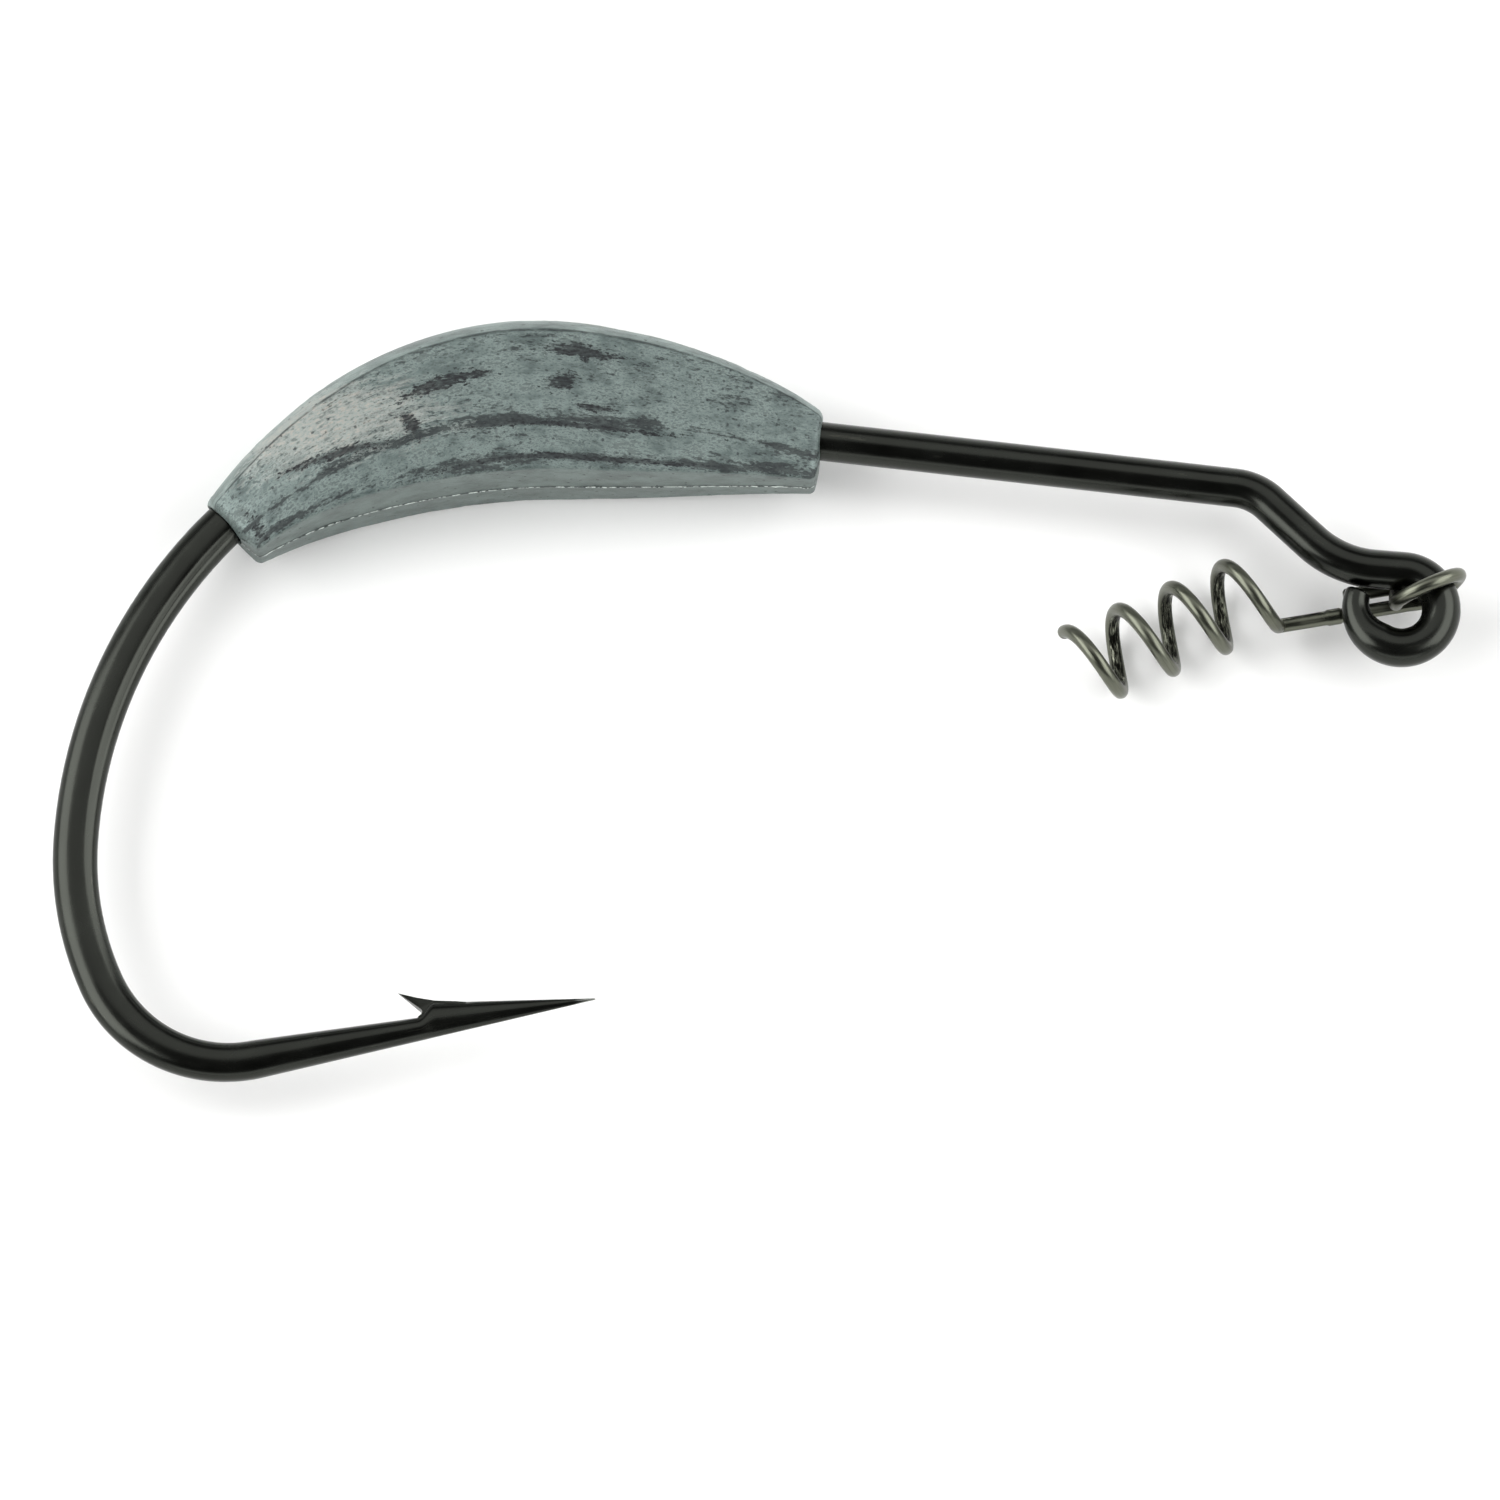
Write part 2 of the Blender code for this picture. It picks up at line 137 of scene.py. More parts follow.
# Crowns and rounding of the casting, as shares of its half width, then as lengths
RIDGE_FALL = 0.07
RIDGE_ROUNDING_SHARE = 0.3
BACK_CROWN_SHARE = 0.37
BELLY_CROWN_SHARE = 0.04
BACK_EDGE_ROUNDING = 0.1 * MM
BELLY_EDGE_ROUNDING = 0.2 * MM
END_ROUNDING = 0.3 * MM

# Rows of an end's face: how far in from its outline, and how far it bulges out
END_BULGE = ((1.15 * MM, 0.08 * MM), (0.8 * MM, 0.06 * MM), (0.5 * MM, 0.03 * MM))

# The channel that the wire lies in, and the flash on the parting line
CASTING_GAP = 0.04 * MM
CHANNEL_MOUTH = 0.1 * MM
CHANNEL_MOUTH_LENGTH = 0.4 * MM
CHANNEL_OVERRUN = 1.5 * MM
FLASH_HALF_WIDTH = 0.09 * MM
FLASH_HEIGHT = 0.03 * MM
FLASH_CRUMB_HEIGHT = 0.05 * MM
FLASH_WANDER = 0.04 * MM
FLASH_CRUMBS_PER_MM = 3.3
FLASH_WANDERS_PER_MM = 1.4

# Depth of the casting's broad and fine hollows, and of the rough breaks on its ends; the
# hollows are fainter where a side stands out the furthest
BROAD_HOLLOW = 0.05 * MM
FINE_HOLLOW = 0.03 * MM
END_BREAK = 0.05 * MM
WIDEST_FROM_SHARE = 0.96
WIDEST_HOLLOWS = 0.3

# Keeper spring
SPRING_DIAMETER = 0.72 * MM
SPRING_SIDES = 28
SPRING_END_ROUNDING = 0.12 * MM
COIL_RADIUS = 1.92 * MM
COIL_PITCH = 2.87 * MM
COIL_TURNS = 3.545
COIL_AXIS_ANGLE = radians(23.4)
COIL_END_FROM_EYE = Vector((-6.87, 1.2, 0)) * MM
COIL_STEP = radians(4)
COIL_TIP_TRIM = radians(9)
RING_RADIUS = (WIRE_DIAMETER + SPRING_DIAMETER) / 2 + 0.4 * MM
RING_DIRECTION = radians(24)
RING_OFFSET = (EYE_HOLE_DIAMETER - SPRING_DIAMETER) / 2 - 0.235 * MM
RING_LEAN = 0.14
RING_CLEARANCE = 0.06 * MM
RING_STEP = radians(4)
RING_LEG_DROP = 0.35 * MM
RING_LIFT_START = 0.2
RING_LIFT_END = 0.75
TAIL_LENGTH = 3.9 * MM
TAIL_GAP = 0.29 * MM
LEG_STRAIGHT_SHARES = (0.14, 0.85)
SWAGE_FROM_EYE = (3.0 * MM, 3.7 * MM)
SWAGE_HEIGHT = 0.05 * MM
LEG_END_SHARE = 0.8
LEG_HIGHEST = -1.0 * MM

FLOOR_SIZE = 1.2


# ---------------------------------------------------------------- small helpers


def smooth_step(value):
    value = min(max(value, 0.0), 1.0)
    return value * value * (3 - 2 * value)


def mix(first, second, share):
    return first + (second - first) * share


def steps(start, end, count):
    return [mix(start, end, index / count) for index in range(count + 1)]


def hump(share, peak_share, fullness):
    """0 at both ends and 1 at peak_share; a lower fullness gives a flatter top."""
    from_start = min(max(share, 0.0), 1.0) ** (log(0.5) / log(peak_share))
    return max(sin(pi * from_start), 0.0) ** fullness


def direction(angle):
    return Vector((cos(angle), sin(angle), 0))


def on_curve(start, middle, end, share):
    """A point of the curve that leaves start towards middle and comes to end from middle."""
    return start.lerp(middle, share).lerp(middle.lerp(end, share), share)


def add_piece(name, data, look, body):
    piece = bpy.data.objects.new(name, data)
    bpy.context.scene.collection.objects.link(piece)
    data.materials.append(look)
    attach(piece, body)
    return piece


def skin(name, rings, attributes, sharp=radians(50)):
    """A closed mesh over rows of points, with an end cap on each end.

    attributes holds a list of one vector for each point, under each name that the materials read.
    """
    width = len(rings[0])
    points = [point for ring in rings for point in ring]
    faces = []
    for row in range(len(rings) - 1):
        for index in range(width):
            beside = (index + 1) % width
            here, after = row * width, (row + 1) * width
            faces.append((here + index, here + beside, after + beside, after + index))
    faces.append(tuple(reversed(range(width))))
    faces.append(tuple(range(len(points) - width, len(points))))
    data = bpy.data.meshes.new(name)
    data.from_pydata(points, [], faces)
    for attribute, vectors in attributes.items():
        stored = data.attributes.new(attribute, "FLOAT_VECTOR", "POINT")
        stored.data.foreach_set("vector", [value for vector in vectors for value in vector])
    made = bmesh.new()
    made.from_mesh(data)
    bmesh.ops.recalc_face_normals(made, faces=made.faces)
    made.to_mesh(data)
    made.free()
    data.shade_smooth()
    data.set_sharp_from_angle(angle=sharp)
    return data


def hide_cutter(name, data):
    cutter = bpy.data.objects.new(name, data)
    bpy.context.scene.collection.objects.link(cutter)
    cutter.hide_render = True
    cutter.hide_viewport = True
    return cutter


def combine(piece, other, operation):
    """Joins or cuts the piece with another closed mesh, which is then removed."""
    step = piece.modifiers.new(operation.lower(), "BOOLEAN")
    step.operation = operation
    step.solver = "EXACT"
    step.object = other
    other.hide_viewport = False
    graph = bpy.context.evaluated_depsgraph_get()
    result = bpy.data.meshes.new_from_object(piece.evaluated_get(graph))
    piece.modifiers.clear()
    piece.data = result
    bpy.data.objects.remove(other, do_unlink=True)


# ---------------------------------------------------------------- hook shape


def length_of(runs):
    return sum(straight + radius * abs(angle) for straight, radius, angle in runs)


HOOK_LENGTH = length_of(HOOK_RUNS)
SHANK_START = length_of(HOOK_RUNS[:2])
LOWER_BEND_START = length_of(HOOK_RUNS[:5])
SPEAR_START = length_of(HOOK_RUNS[:6])
WEIGHT_START = SHANK_START + WEIGHT_FROM_OFFSET_BEND
WEIGHT_END = WEIGHT_START + WEIGHT_LENGTH
FORGING_START = WEIGHT_END - FORGING_RUN_IN


def place_on_hook(distance):
    """Position and heading of the centre line, this far along the wire from the eye."""
    position = EYE_RADIUS * direction(EYE_LEAVE_ANGLE)
    heading = EYE_LEAVE_ANGLE + pi / 2
    for straight, radius, angle in HOOK_RUNS:
        ahead = min(distance, straight)
        position += ahead * direction(heading)
        distance -= ahead
        bent = min(distance, radius * abs(angle))
        if bent > 0:
            signed_radius = radius if angle > 0 else -radius
            after = heading + bent / signed_radius
            position += signed_radius * Vector(
                (sin(after) - sin(heading), cos(heading) - cos(after), 0)
            )
            heading = after
            distance -= bent
    return position, heading


def spear_section(to_tip):
    """Heights on the gape side and the outer side of the centre line, and half the thickness."""
    base = WIRE_DIAMETER / 2
    outer = mix(POINT_DROP + TIP_SIZE / 2, base, to_tip / SPEAR_LENGTH)
    if to_tip >= NOTCH_FROM_TIP:
        behind = (to_tip - NOTCH_FROM_TIP) / (SPEAR_LENGTH - NOTCH_FROM_TIP)
        thickness = mix(POINT_THICKNESS, FORGED_THICKNESS, behind)
        return mix(NOTCH_HEIGHT, base, behind), outer, thickness / 2
    left = min(to_tip / BARB_ROOT_FROM_TIP, 1)
    up = smooth_step((NOTCH_FROM_TIP - to_tip) / (NOTCH_FROM_TIP - BARB_ROOT_FROM_TIP))
    top = mix(TIP_SIZE / 2 - POINT_DROP, BARB_ROOT_HEIGHT, left)
    top = mix(NOTCH_HEIGHT, top, up)
    lost = max(1 - to_tip / TIP_ROUNDING, 0)
    shrink = (1 - sqrt(1 - lost * lost * 0.96)) * (top + outer) / 2
    half_thickness = mix(TIP_SIZE, POINT_THICKNESS, left) / 2
    return top - shrink, outer - shrink, half_thickness * sqrt(1 - lost * lost * 0.96)


def hook_section(distance):
    """(gape side height, outer side height, half thickness, squareness) of the wire."""
    if distance >= SPEAR_START:
        pressed = 1 - smooth_step((distance - SPEAR_START) / (SPEAR_LENGTH / 2))
        return (*spear_section(HOOK_LENGTH - distance), mix(2, FORGED_SQUARENESS, pressed))
    pressed = smooth_step((distance - FORGING_START) / FORGING_RUN_IN)
    narrowing = smooth_step((distance - LOWER_BEND_START) / (SPEAR_START - LOWER_BEND_START))
    widened = mix(WIRE_DIAMETER, FORGED_WIDTH, pressed)
    half_width = mix(widened, WIRE_DIAMETER, narrowing) / 2
    half_thickness = mix(WIRE_DIAMETER, FORGED_THICKNESS, pressed) / 2
    return half_width, half_width, half_thickness, mix(2, FORGED_SQUARENESS, pressed)


def crease_depth(distance):
    """The press left a shallow crease beside the gape side, which fades out down the bend."""
    run = (distance - FORGING_START - FORGING_RUN_IN / 2) / CREASE_LENGTH
    return CREASE_DEPTH * smooth_step(run * 6) * smooth_step(2 * (1 - run))


def wire_ring(position, heading, section, gap=0.0, crease=0.0):
    """One closed row of points round the wire, square to its heading."""
    inner, outer, half_thickness, squareness = section
    gape_side = Vector((-sin(heading), cos(heading), 0))
    middle = position + gape_side * (inner - outer) / 2
    power = 2 / squareness
    ring = []
    for index in range(WIRE_SIDES):
        turn = 2 * pi * index / WIRE_SIDES
        across = abs(cos(turn)) ** power * ((inner + outer) / 2 + gap)
        across = across if cos(turn) > 0 else -across
        through = abs(sin(turn)) ** power * (half_thickness + gap)
        from_crease = abs(min(turn, 2 * pi - turn) - CREASE_TURN) / (2 * pi / WIRE_SIDES)
        through -= crease * max(1 - from_crease, 0)
        level = through if sin(turn) > 0 else -through
        ring.append(middle + gape_side * across + Vector((0, 0, level)))
    return ring


def wire_places(distance):
    """Where each point of a row lies on the rolled-out wire: along it, and round it."""
    girth = pi * WIRE_DIAMETER
    return [(distance, girth * index / WIRE_SIDES, 0.0) for index in range(WIRE_SIDES)]


def hook_stations(start, end):
    """Where the rows lie along the wire: closer together in the bends, the notch and the tip."""
    found = [start, end]
    covered = 0.0
    for straight, radius, angle in HOOK_RUNS:
        if straight:
            found += steps(covered, covered + straight, ceil(straight / STRAIGHT_STEP))
        bend_start = covered + straight
        covered = bend_start + radius * abs(angle)
        if angle:
            found += steps(bend_start, covered, ceil(abs(angle) / BEND_STEP))
    found += [end - TIP_ROUNDING * (1 - cos(turn)) for turn in steps(0, pi / 2, 5)]
    notch = HOOK_LENGTH - NOTCH_FROM_TIP
    found += steps(notch, notch + NOTCH_FROM_TIP - BARB_ROOT_FROM_TIP, 8)
    return sorted({round(place, 7) for place in found if start <= place <= end})


def eye_rings():
    """Rows of the eye from its cut end, whose rim is rounded over, to where the neck leaves."""
    sweep = 2 * pi + EYE_LEAVE_ANGLE - EYE_END_ANGLE
    rings, places = [], []
    rim = [EYE_END_ROUNDING * (1 - cos(turn)) / EYE_RADIUS for turn in steps(0, pi / 2, 5)]
    for turned in rim + steps(rim[-1], sweep, ceil(sweep / EYE_STEP))[1:-1]:
        angle = EYE_END_ANGLE + turned
        thick = smooth_step(turned / EYE_THINNED_SWEEP)
        full = mix(EYE_END_DIAMETER, WIRE_DIAMETER, thick) / 2
        lost = max(1 - turned * EYE_RADIUS / EYE_END_ROUNDING, 0)
        radius = full - EYE_END_ROUNDING * (1 - sqrt(1 - lost * lost))
        position = (EYE_RADIUS + WIRE_DIAMETER / 2 - full) * direction(angle)
        rings.append(wire_ring(position, angle + pi / 2, (radius, radius, radius, 2)))
        places += wire_places((turned - sweep) * EYE_RADIUS)
    return rings, places


def barb_blade():
    """The sliver cut up out of the spear: a round-bottomed notch behind it, a thin tip."""
    notch_floor = Vector((NOTCH_FLOOR_FROM_TIP, NOTCH_HEIGHT - NOTCH_FLOOR_SINK))
    throat = []
    for share in steps(0, 1, 8):
        place = on_curve(BARB_UNDERSIDE, BARB_THROAT, notch_floor, share)
        throat.append((place.x, place.y))
    buried = [(NOTCH_FLOOR_FROM_TIP, 0.0), (BARB_FRONT[0], 0.0), BARB_FRONT]
    outline = [BARB_TIP] + throat + buried + BARB_BACK
    made = bmesh.new()
    sides = []
    for side in (-1, 1):
        row = []
        for back, height in outline:
            rise = smooth_step((height - NOTCH_HEIGHT) / (BARB_TIP[1] - NOTCH_HEIGHT))
            half = mix(BARB_HALF_WIDTH, BARB_EDGE, rise)
            position, heading = place_on_hook(HOOK_LENGTH - back)
            up = Vector((-sin(heading), cos(heading), 0))
            row.append(made.verts.new(position + up * height + Vector((0, 0, side * half))))
        sides.append(row)
    far, near = sides
    for index in range(len(far)):
        beside = (index + 1) % len(far)
        made.faces.new((far[index], far[beside], near[beside], near[index]))
    made.faces.new(far)
    made.faces.new(near)
    bmesh.ops.triangulate(made, faces=made.faces)
    bmesh.ops.recalc_face_normals(made, faces=made.faces)
    data = bpy.data.meshes.new("barb_blade")
    made.to_mesh(data)
    made.free()
    return hide_cutter("barb_blade", data)


def forged_hook():
    """Eye, neck, shank, bends and spear in one skin, joined to the barb."""
    rings, places = eye_rings()
    for distance in hook_stations(0, HOOK_LENGTH):
        crease = crease_depth(distance)
        rings.append(wire_ring(*place_on_hook(distance), hook_section(distance), crease=crease))
        places += wire_places(distance)
    data = skin("forged_hook_wire", rings, {"surface_place": places})
    piece = add_piece("forged_hook_wire", data, black_nickel_steel(), "hook")
    combine(piece, barb_blade(), "UNION")
    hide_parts("forged_hook")


# ---------------------------------------------------------------- belly weight shape


def weight_section(share):
    """(belly height, back height, half width) of the casting, this share along it."""
    belly_rise = WEIGHT_BELLY_HEIGHT - WEIGHT_BELLY_END_HEIGHT
    back_rise = WEIGHT_BACK_HEIGHT - WEIGHT_BACK_END_HEIGHT
    width_rise = WEIGHT_HALF_WIDTH - WEIGHT_END_HALF_WIDTH
    belly = WEIGHT_BELLY_END_HEIGHT + belly_rise * hump(share, BELLY_PEAK, PROFILE_FULLNESS)
    back = WEIGHT_BACK_END_HEIGHT + back_rise * hump(share, BACK_PEAK, PROFILE_FULLNESS)
    widening = min(FULL_WIDTH_STRETCH * hump(share, WIDTH_PEAK, WIDTH_FULLNESS), 1)
    width = WEIGHT_END_HALF_WIDTH + width_rise * widening
    return belly, back, width


def rounded(corners, counts, finish):
    """Points along straight runs whose corners are rounded over; finish follows the last one.

    corners holds (point, rounding length); counts holds the points on each straight run.
    """
    found = [corners[0][0]]
    for index in range(1, len(corners)):
        point, reach = corners[index]
        after = corners[index + 1][0] if index + 1 < len(corners) else finish[0]
        arriving = (point - corners[index - 1][0]).normalized()
        leaving = (after - point).normalized()
        start, end = point - arriving * reach, point + leaving * reach
        last = found[-1]
        found += [last.lerp(start, share) for share in steps(0, 1, counts[index - 1])[1:]]
        for share in steps(0, 1, 6)[1:]:
            found.append(on_curve(start, point, end, share))
    return found + finish


def weight_outline(share):
    """Half of the casting's outline, (height, level), from the belly's middle to the back's.

    Each side swells to a soft ridge along the middle, and the back is an arc that meets the
    sides in a clear edge. The heights of the back edge and the belly edge come with it.
    """
    belly, back, width = weight_section(share)
    crown = BACK_CROWN_SHARE * width
    arc_radius = (width * width + crown * crown) / (2 * crown)
    edge_level = width * (1 - RIDGE_FALL)
    edge_angle = acos(1 - crown / arc_radius)
    arc = []
    for turn in steps(edge_angle, 0, 14):
        height = back - arc_radius * (1 - cos(turn))
        arc.append(Vector((-height, edge_level * sin(turn) / sin(edge_angle))))
    ridge = mix(belly, crown - back, RIDGE_ACROSS)
    belly_edge = belly - BELLY_CROWN_SHARE * width
    # The edges are rounded less where the casting narrows towards its ends.
    corners = [
        (Vector((belly, FLASH_HALF_WIDTH)), 0.0),
        (Vector((belly_edge, edge_level)), min(BELLY_EDGE_ROUNDING, 0.12 * width)),
        (Vector((ridge, width)), RIDGE_ROUNDING_SHARE * width),
        (arc[0], min(BACK_EDGE_ROUNDING, 0.08 * width)),
    ]
    half = rounded(corners, (9, 14, 18), arc[1:-1])
    middle_back = [Vector((-back, FLASH_HALF_WIDTH)), Vector((-back, 0.0))]
    return [Vector((belly, 0.0))] + half + middle_back, arc[0].x, belly_edge


def flash_crumb(along, index):
    """The bead of flash along a parting line: uneven in height, and wandering a little."""
    length = along / MM
    crumbs = noise.noise(Vector((length * FLASH_CRUMBS_PER_MM, index, 4.0)))
    wander = noise.noise(Vector((length * FLASH_WANDERS_PER_MM, index, 9.0)))
    return FLASH_HEIGHT + FLASH_CRUMB_HEIGHT * max(crumbs + 0.2, 0.0), FLASH_WANDER * wander


def cast_dip(along, height, level, at_end):
    """How far the skin lies below the mould's shape, as 0 or a negative length."""
    spot = Vector((along, height, level)) / MM
    dip = BROAD_HOLLOW * noise.noise(spot * 0.5) + FINE_HOLLOW * noise.noise(spot * 2.3)
    dip -= END_BREAK * abs(noise.noise(spot * 3.1)) * min(2 * at_end, 1)
    if abs(level) > WIDEST_FROM_SHARE * WEIGHT_HALF_WIDTH:
        dip *= WIDEST_HOLLOWS
    return min(dip, 0.0)


def weight_row(share, shrink, beyond=0.0):
    """One row of the casting. shrink draws it in towards the wire, beyond pushes it outwards.

    side_place is how far across a side the point lies, 0 at the back edge and 1 at the belly
    edge, then whether it is on a side, then whether it is on an end.
    """
    distance = WEIGHT_START + min(max(share, 0), 1) * WEIGHT_LENGTH
    position, heading = place_on_hook(distance)
    position += direction(heading) * beyond
    gape_side = Vector((-sin(heading), cos(heading), 0))
    half, back_edge, belly_edge = weight_outline(share)
    mirrored = [Vector((point.x, -point.y)) for point in reversed(half[1:-1])]
    last = len(half) - 1
    along = distance - WEIGHT_START
    at_end = min(shrink / END_ROUNDING, 1.0)
    row, places, sides = [], [], []
    for index, point in enumerate(half + mirrored):
        inward = point * max(1 - shrink / point.length, 0)
        height, level = inward
        if index in (0, last):
            raised, wander = flash_crumb(along, index)
            height += raised if index == 0 else -raised
            level += wander
        else:
            dip = inward.normalized() * cast_dip(along, height, level, at_end)
            height += dip.x
            level += dip.y
        row.append(position + gape_side * height + Vector((0, 0, level)))
        places.append((along, height, level))
        across = (point.x - back_edge) / (belly_edge - back_edge)
        on_side = smooth_step((across + 0.01) / 0.02) * smooth_step((1.01 - across) / 0.02)
        sides.append((across, on_side, at_end))
    return row, places, sides


def weight_casting():
    """Square-cut ends are rounded over, and their faces bulge a little towards the wire."""
    rows = []
    turns = steps(0, pi / 2, 6)[:-1]
    first = END_ROUNDING / WEIGHT_LENGTH
    for shrink, beyond in END_BULGE:
        rows.append(weight_row(0, shrink, -beyond))
    for turn in turns:
        rows.append(weight_row(first * (1 - cos(turn)), END_ROUNDING * (1 - sin(turn))))
    for share in steps(first, 1 - first, WEIGHT_STATIONS):
        rows.append(weight_row(share, 0.0))
    for turn in reversed(turns):
        rows.append(weight_row(1 - first * (1 - cos(turn)), END_ROUNDING * (1 - sin(turn))))
    for shrink, beyond in reversed(END_BULGE):
        rows.append(weight_row(1, shrink, beyond))
    attributes = {
        "surface_place": [place for row in rows for place in row[1]],
        "side_place": [side for row in rows for side in row[2]],
    }
    return skin("cast_weight", [row[0] for row in rows], attributes, sharp=radians(40))


def shank_channel():
    """The wire's own shape with a little play, and a wider mouth at each end."""
    rings = []
    start, end = WEIGHT_START - CHANNEL_OVERRUN, WEIGHT_END + CHANNEL_OVERRUN
    mouth_ends = [WEIGHT_START + CHANNEL_MOUTH_LENGTH, WEIGHT_END - CHANNEL_MOUTH_LENGTH]
    mouths = mouth_ends + [WEIGHT_START, WEIGHT_END]
    for distance in sorted(hook_stations(start, end) + mouths):
        inside = min(distance - WEIGHT_START, WEIGHT_END - distance) / CHANNEL_MOUTH_LENGTH
        gap = CASTING_GAP + CHANNEL_MOUTH * (1 - smooth_step(inside))
        rings.append(wire_ring(*place_on_hook(distance), hook_section(distance), gap))
    return hide_cutter("shank_channel", skin("shank_channel", rings, {}))


def belly_weight():
    """The casting, with the wire's channel cut through it."""
    piece = add_piece("cast_weight", weight_casting(), cast_lead(), "hook")
    combine(piece, shank_channel(), "DIFFERENCE")
    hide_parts("belly_weight")


# ---------------------------------------------------------------- keeper shape


def ring_route():
    """The ring from the leg's end at the back, out past the eye, through it and back again."""
    along = direction(RING_DIRECTION)
    up = direction(RING_DIRECTION + pi / 2)
    far_reach = EYE_RADIUS + WIRE_DIAMETER / 2 + SPRING_DIAMETER / 2 + RING_CLEARANCE
    far_point = (far_reach**2 - RING_OFFSET**2) ** 0.5
    centre = along * (far_point - RING_RADIUS) + up * RING_OFFSET
    rise = SPRING_DIAMETER + TAIL_GAP - RING_LEG_DROP
    route = []
    for turned in steps(0, 2 * pi, round(2 * pi / RING_STEP)):
        place = turned - pi / 2
        level = RING_RADIUS * sin(place)
        depth = -level / RING_RADIUS if turned > pi else 0
        lifted = rise * smooth_step((depth - RING_LIFT_START) / (RING_LIFT_END - RING_LIFT_START))
        lifted -= RING_LEG_DROP * (1 - smooth_step(2 * turned / pi))
        route.append(
            centre
            + along * RING_RADIUS * cos(place)
            + up * (lifted - RING_LEAN * level)
            + Vector((0, 0, level))
        )
    return route


def coil_route():
    """The coil from its free end to its last turn, a right-handed helix."""
    along = direction(COIL_AXIS_ANGLE)
    up = direction(COIL_AXIS_ANGLE + pi / 2)
    level = SPRING_DIAMETER / 2 + COIL_RADIUS - WEIGHT_HALF_WIDTH
    axis_end = COIL_END_FROM_EYE + Vector((0, 0, level))
    last_turn = 2 * pi * COIL_TURNS
    route = []
    for turn in steps(COIL_TIP_TRIM, last_turn, round(last_turn / COIL_STEP)):
        back = COIL_PITCH * (last_turn - turn) / (2 * pi)
        out = up * cos(turn) + Vector((0, 0, sin(turn)))
        route.append(axis_end - along * back + out * COIL_RADIUS)
    return route, axis_end, along


def corner(before, start, end, after, count):
    """Points of a smooth turn from start to end, leaving and arriving in line with its sides."""
    reach = (end - start).length
    leaving = (start - before).normalized() * reach
    arriving = (after - end).normalized() * reach
    found = []
    for step in range(1, count):
        t = step / count
        found.append(
            start * (2 * t**3 - 3 * t**2 + 1)
            + leaving * (t**3 - 2 * t**2 + t)
            + end * (3 * t**2 - 2 * t**3)
            + arriving * (t**3 - t**2)
        )
    return found


def swept(name, route, radius_at, axis_point, axis):
    """A round wire along the route, with rounded-over ends.

    Each point's surface_place is its length along the wire, its place round it, and how far it
    faces the coil's axis, from 0 to 1.
    """
    rings, places = [], []
    covered = 0.0
    side = Vector((0, 0, 1)).cross(route[1] - route[0]).normalized()
    total = sum((b - a).length for a, b in zip(route, route[1:]))
    for index, centre in enumerate(route):
        before, after = route[max(index - 1, 0)], route[min(index + 1, len(route) - 1)]
        heading = (after - before).normalized()
        side = (side - heading * side.dot(heading)).normalized()
        other = heading.cross(side)
        if index:
            covered += (centre - route[index - 1]).length
        from_axis = centre - axis_point
        from_axis -= axis * from_axis.dot(axis)
        inward = -from_axis.normalized()
        radius = radius_at(covered, total, centre)
        ring = []
        for step in range(SPRING_SIDES):
            turn = 2 * pi * step / SPRING_SIDES
            out = side * cos(turn) + other * sin(turn)
            ring.append(centre + out * radius)
            facing = max(out.dot(inward), 0.0)
            places.append((covered, SPRING_DIAMETER * turn / 2, facing))
        rings.append(ring)
    return skin(name, rings, {"surface_place": places})


def keeper_radius(covered, total, centre):
    """The wire's radius: its cut ends are rounded over, and a short swage grips the leg."""
    lost = max(1 - min(covered, total - covered) / SPRING_END_ROUNDING, 0)
    radius = SPRING_DIAMETER / 2 - SPRING_END_ROUNDING * (1 - sqrt(1 - lost * lost))
    start, end = SWAGE_FROM_EYE
    # The swage is on the leg only, and not on the tail doubled back beside it.
    on_leg = covered < total * LEG_END_SHARE and centre.z < LEG_HIGHEST
    if on_leg and start < -centre.x < end:
        radius += SWAGE_HEIGHT
    return radius


def screw_lock_spring():
    """Coil, bend, straight leg, ring and doubled tail, as one wire."""
    coil, axis_point, axis = coil_route()
    ring = ring_route()
    leg = ring[0] - coil[-1]
    straight_from, straight_to = LEG_STRAIGHT_SHARES
    leg_start = coil[-1] + leg * straight_from
    bend = corner(coil[-2], coil[-1], leg_start, leg_start + leg, 12)
    into_ring = coil[-1] + leg * straight_to
    tail_end = ring[-1] - leg.normalized() * TAIL_LENGTH
    run = [leg_start.lerp(into_ring, share) for share in steps(0, 1, 60)]
    last = corner(run[-2], into_ring, ring[2], ring[3], 8)
    tail = [ring[-1].lerp(tail_end, share) for share in steps(0, 1, 40)[1:]]
    whole = coil + bend + run + last + ring[2:] + tail
    # Closer rows at the free end let its rim round over.
    start_rim = [whole[0].lerp(whole[1], share) for share in (0.2, 0.4, 0.7)]
    whole = whole[:1] + start_rim + whole[1:]
    data = swept("keeper_spring", whole, keeper_radius, axis_point, axis)
    piece = add_piece("keeper_spring", data, spring_wire(), "keeper")
    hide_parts("screw_lock_spring")


# ---------------------------------------------------------------- materials


def linear(hex_colour):
    """An sRGB hex colour as the linear values that the shaders take."""
    values = []
    for start in (1, 3, 5):
        value = int(hex_colour[start : start + 2], 16) / 255
        values.append(value / 12.92 if value <= 0.04045 else ((value + 0.055) / 1.055) ** 2.4)
    return (*values, 1.0)


def new_look(name):
    look = bpy.data.materials.new(name)
    look.use_nodes = True
    return look, look.node_tree, look.node_tree.nodes["Principled BSDF"]


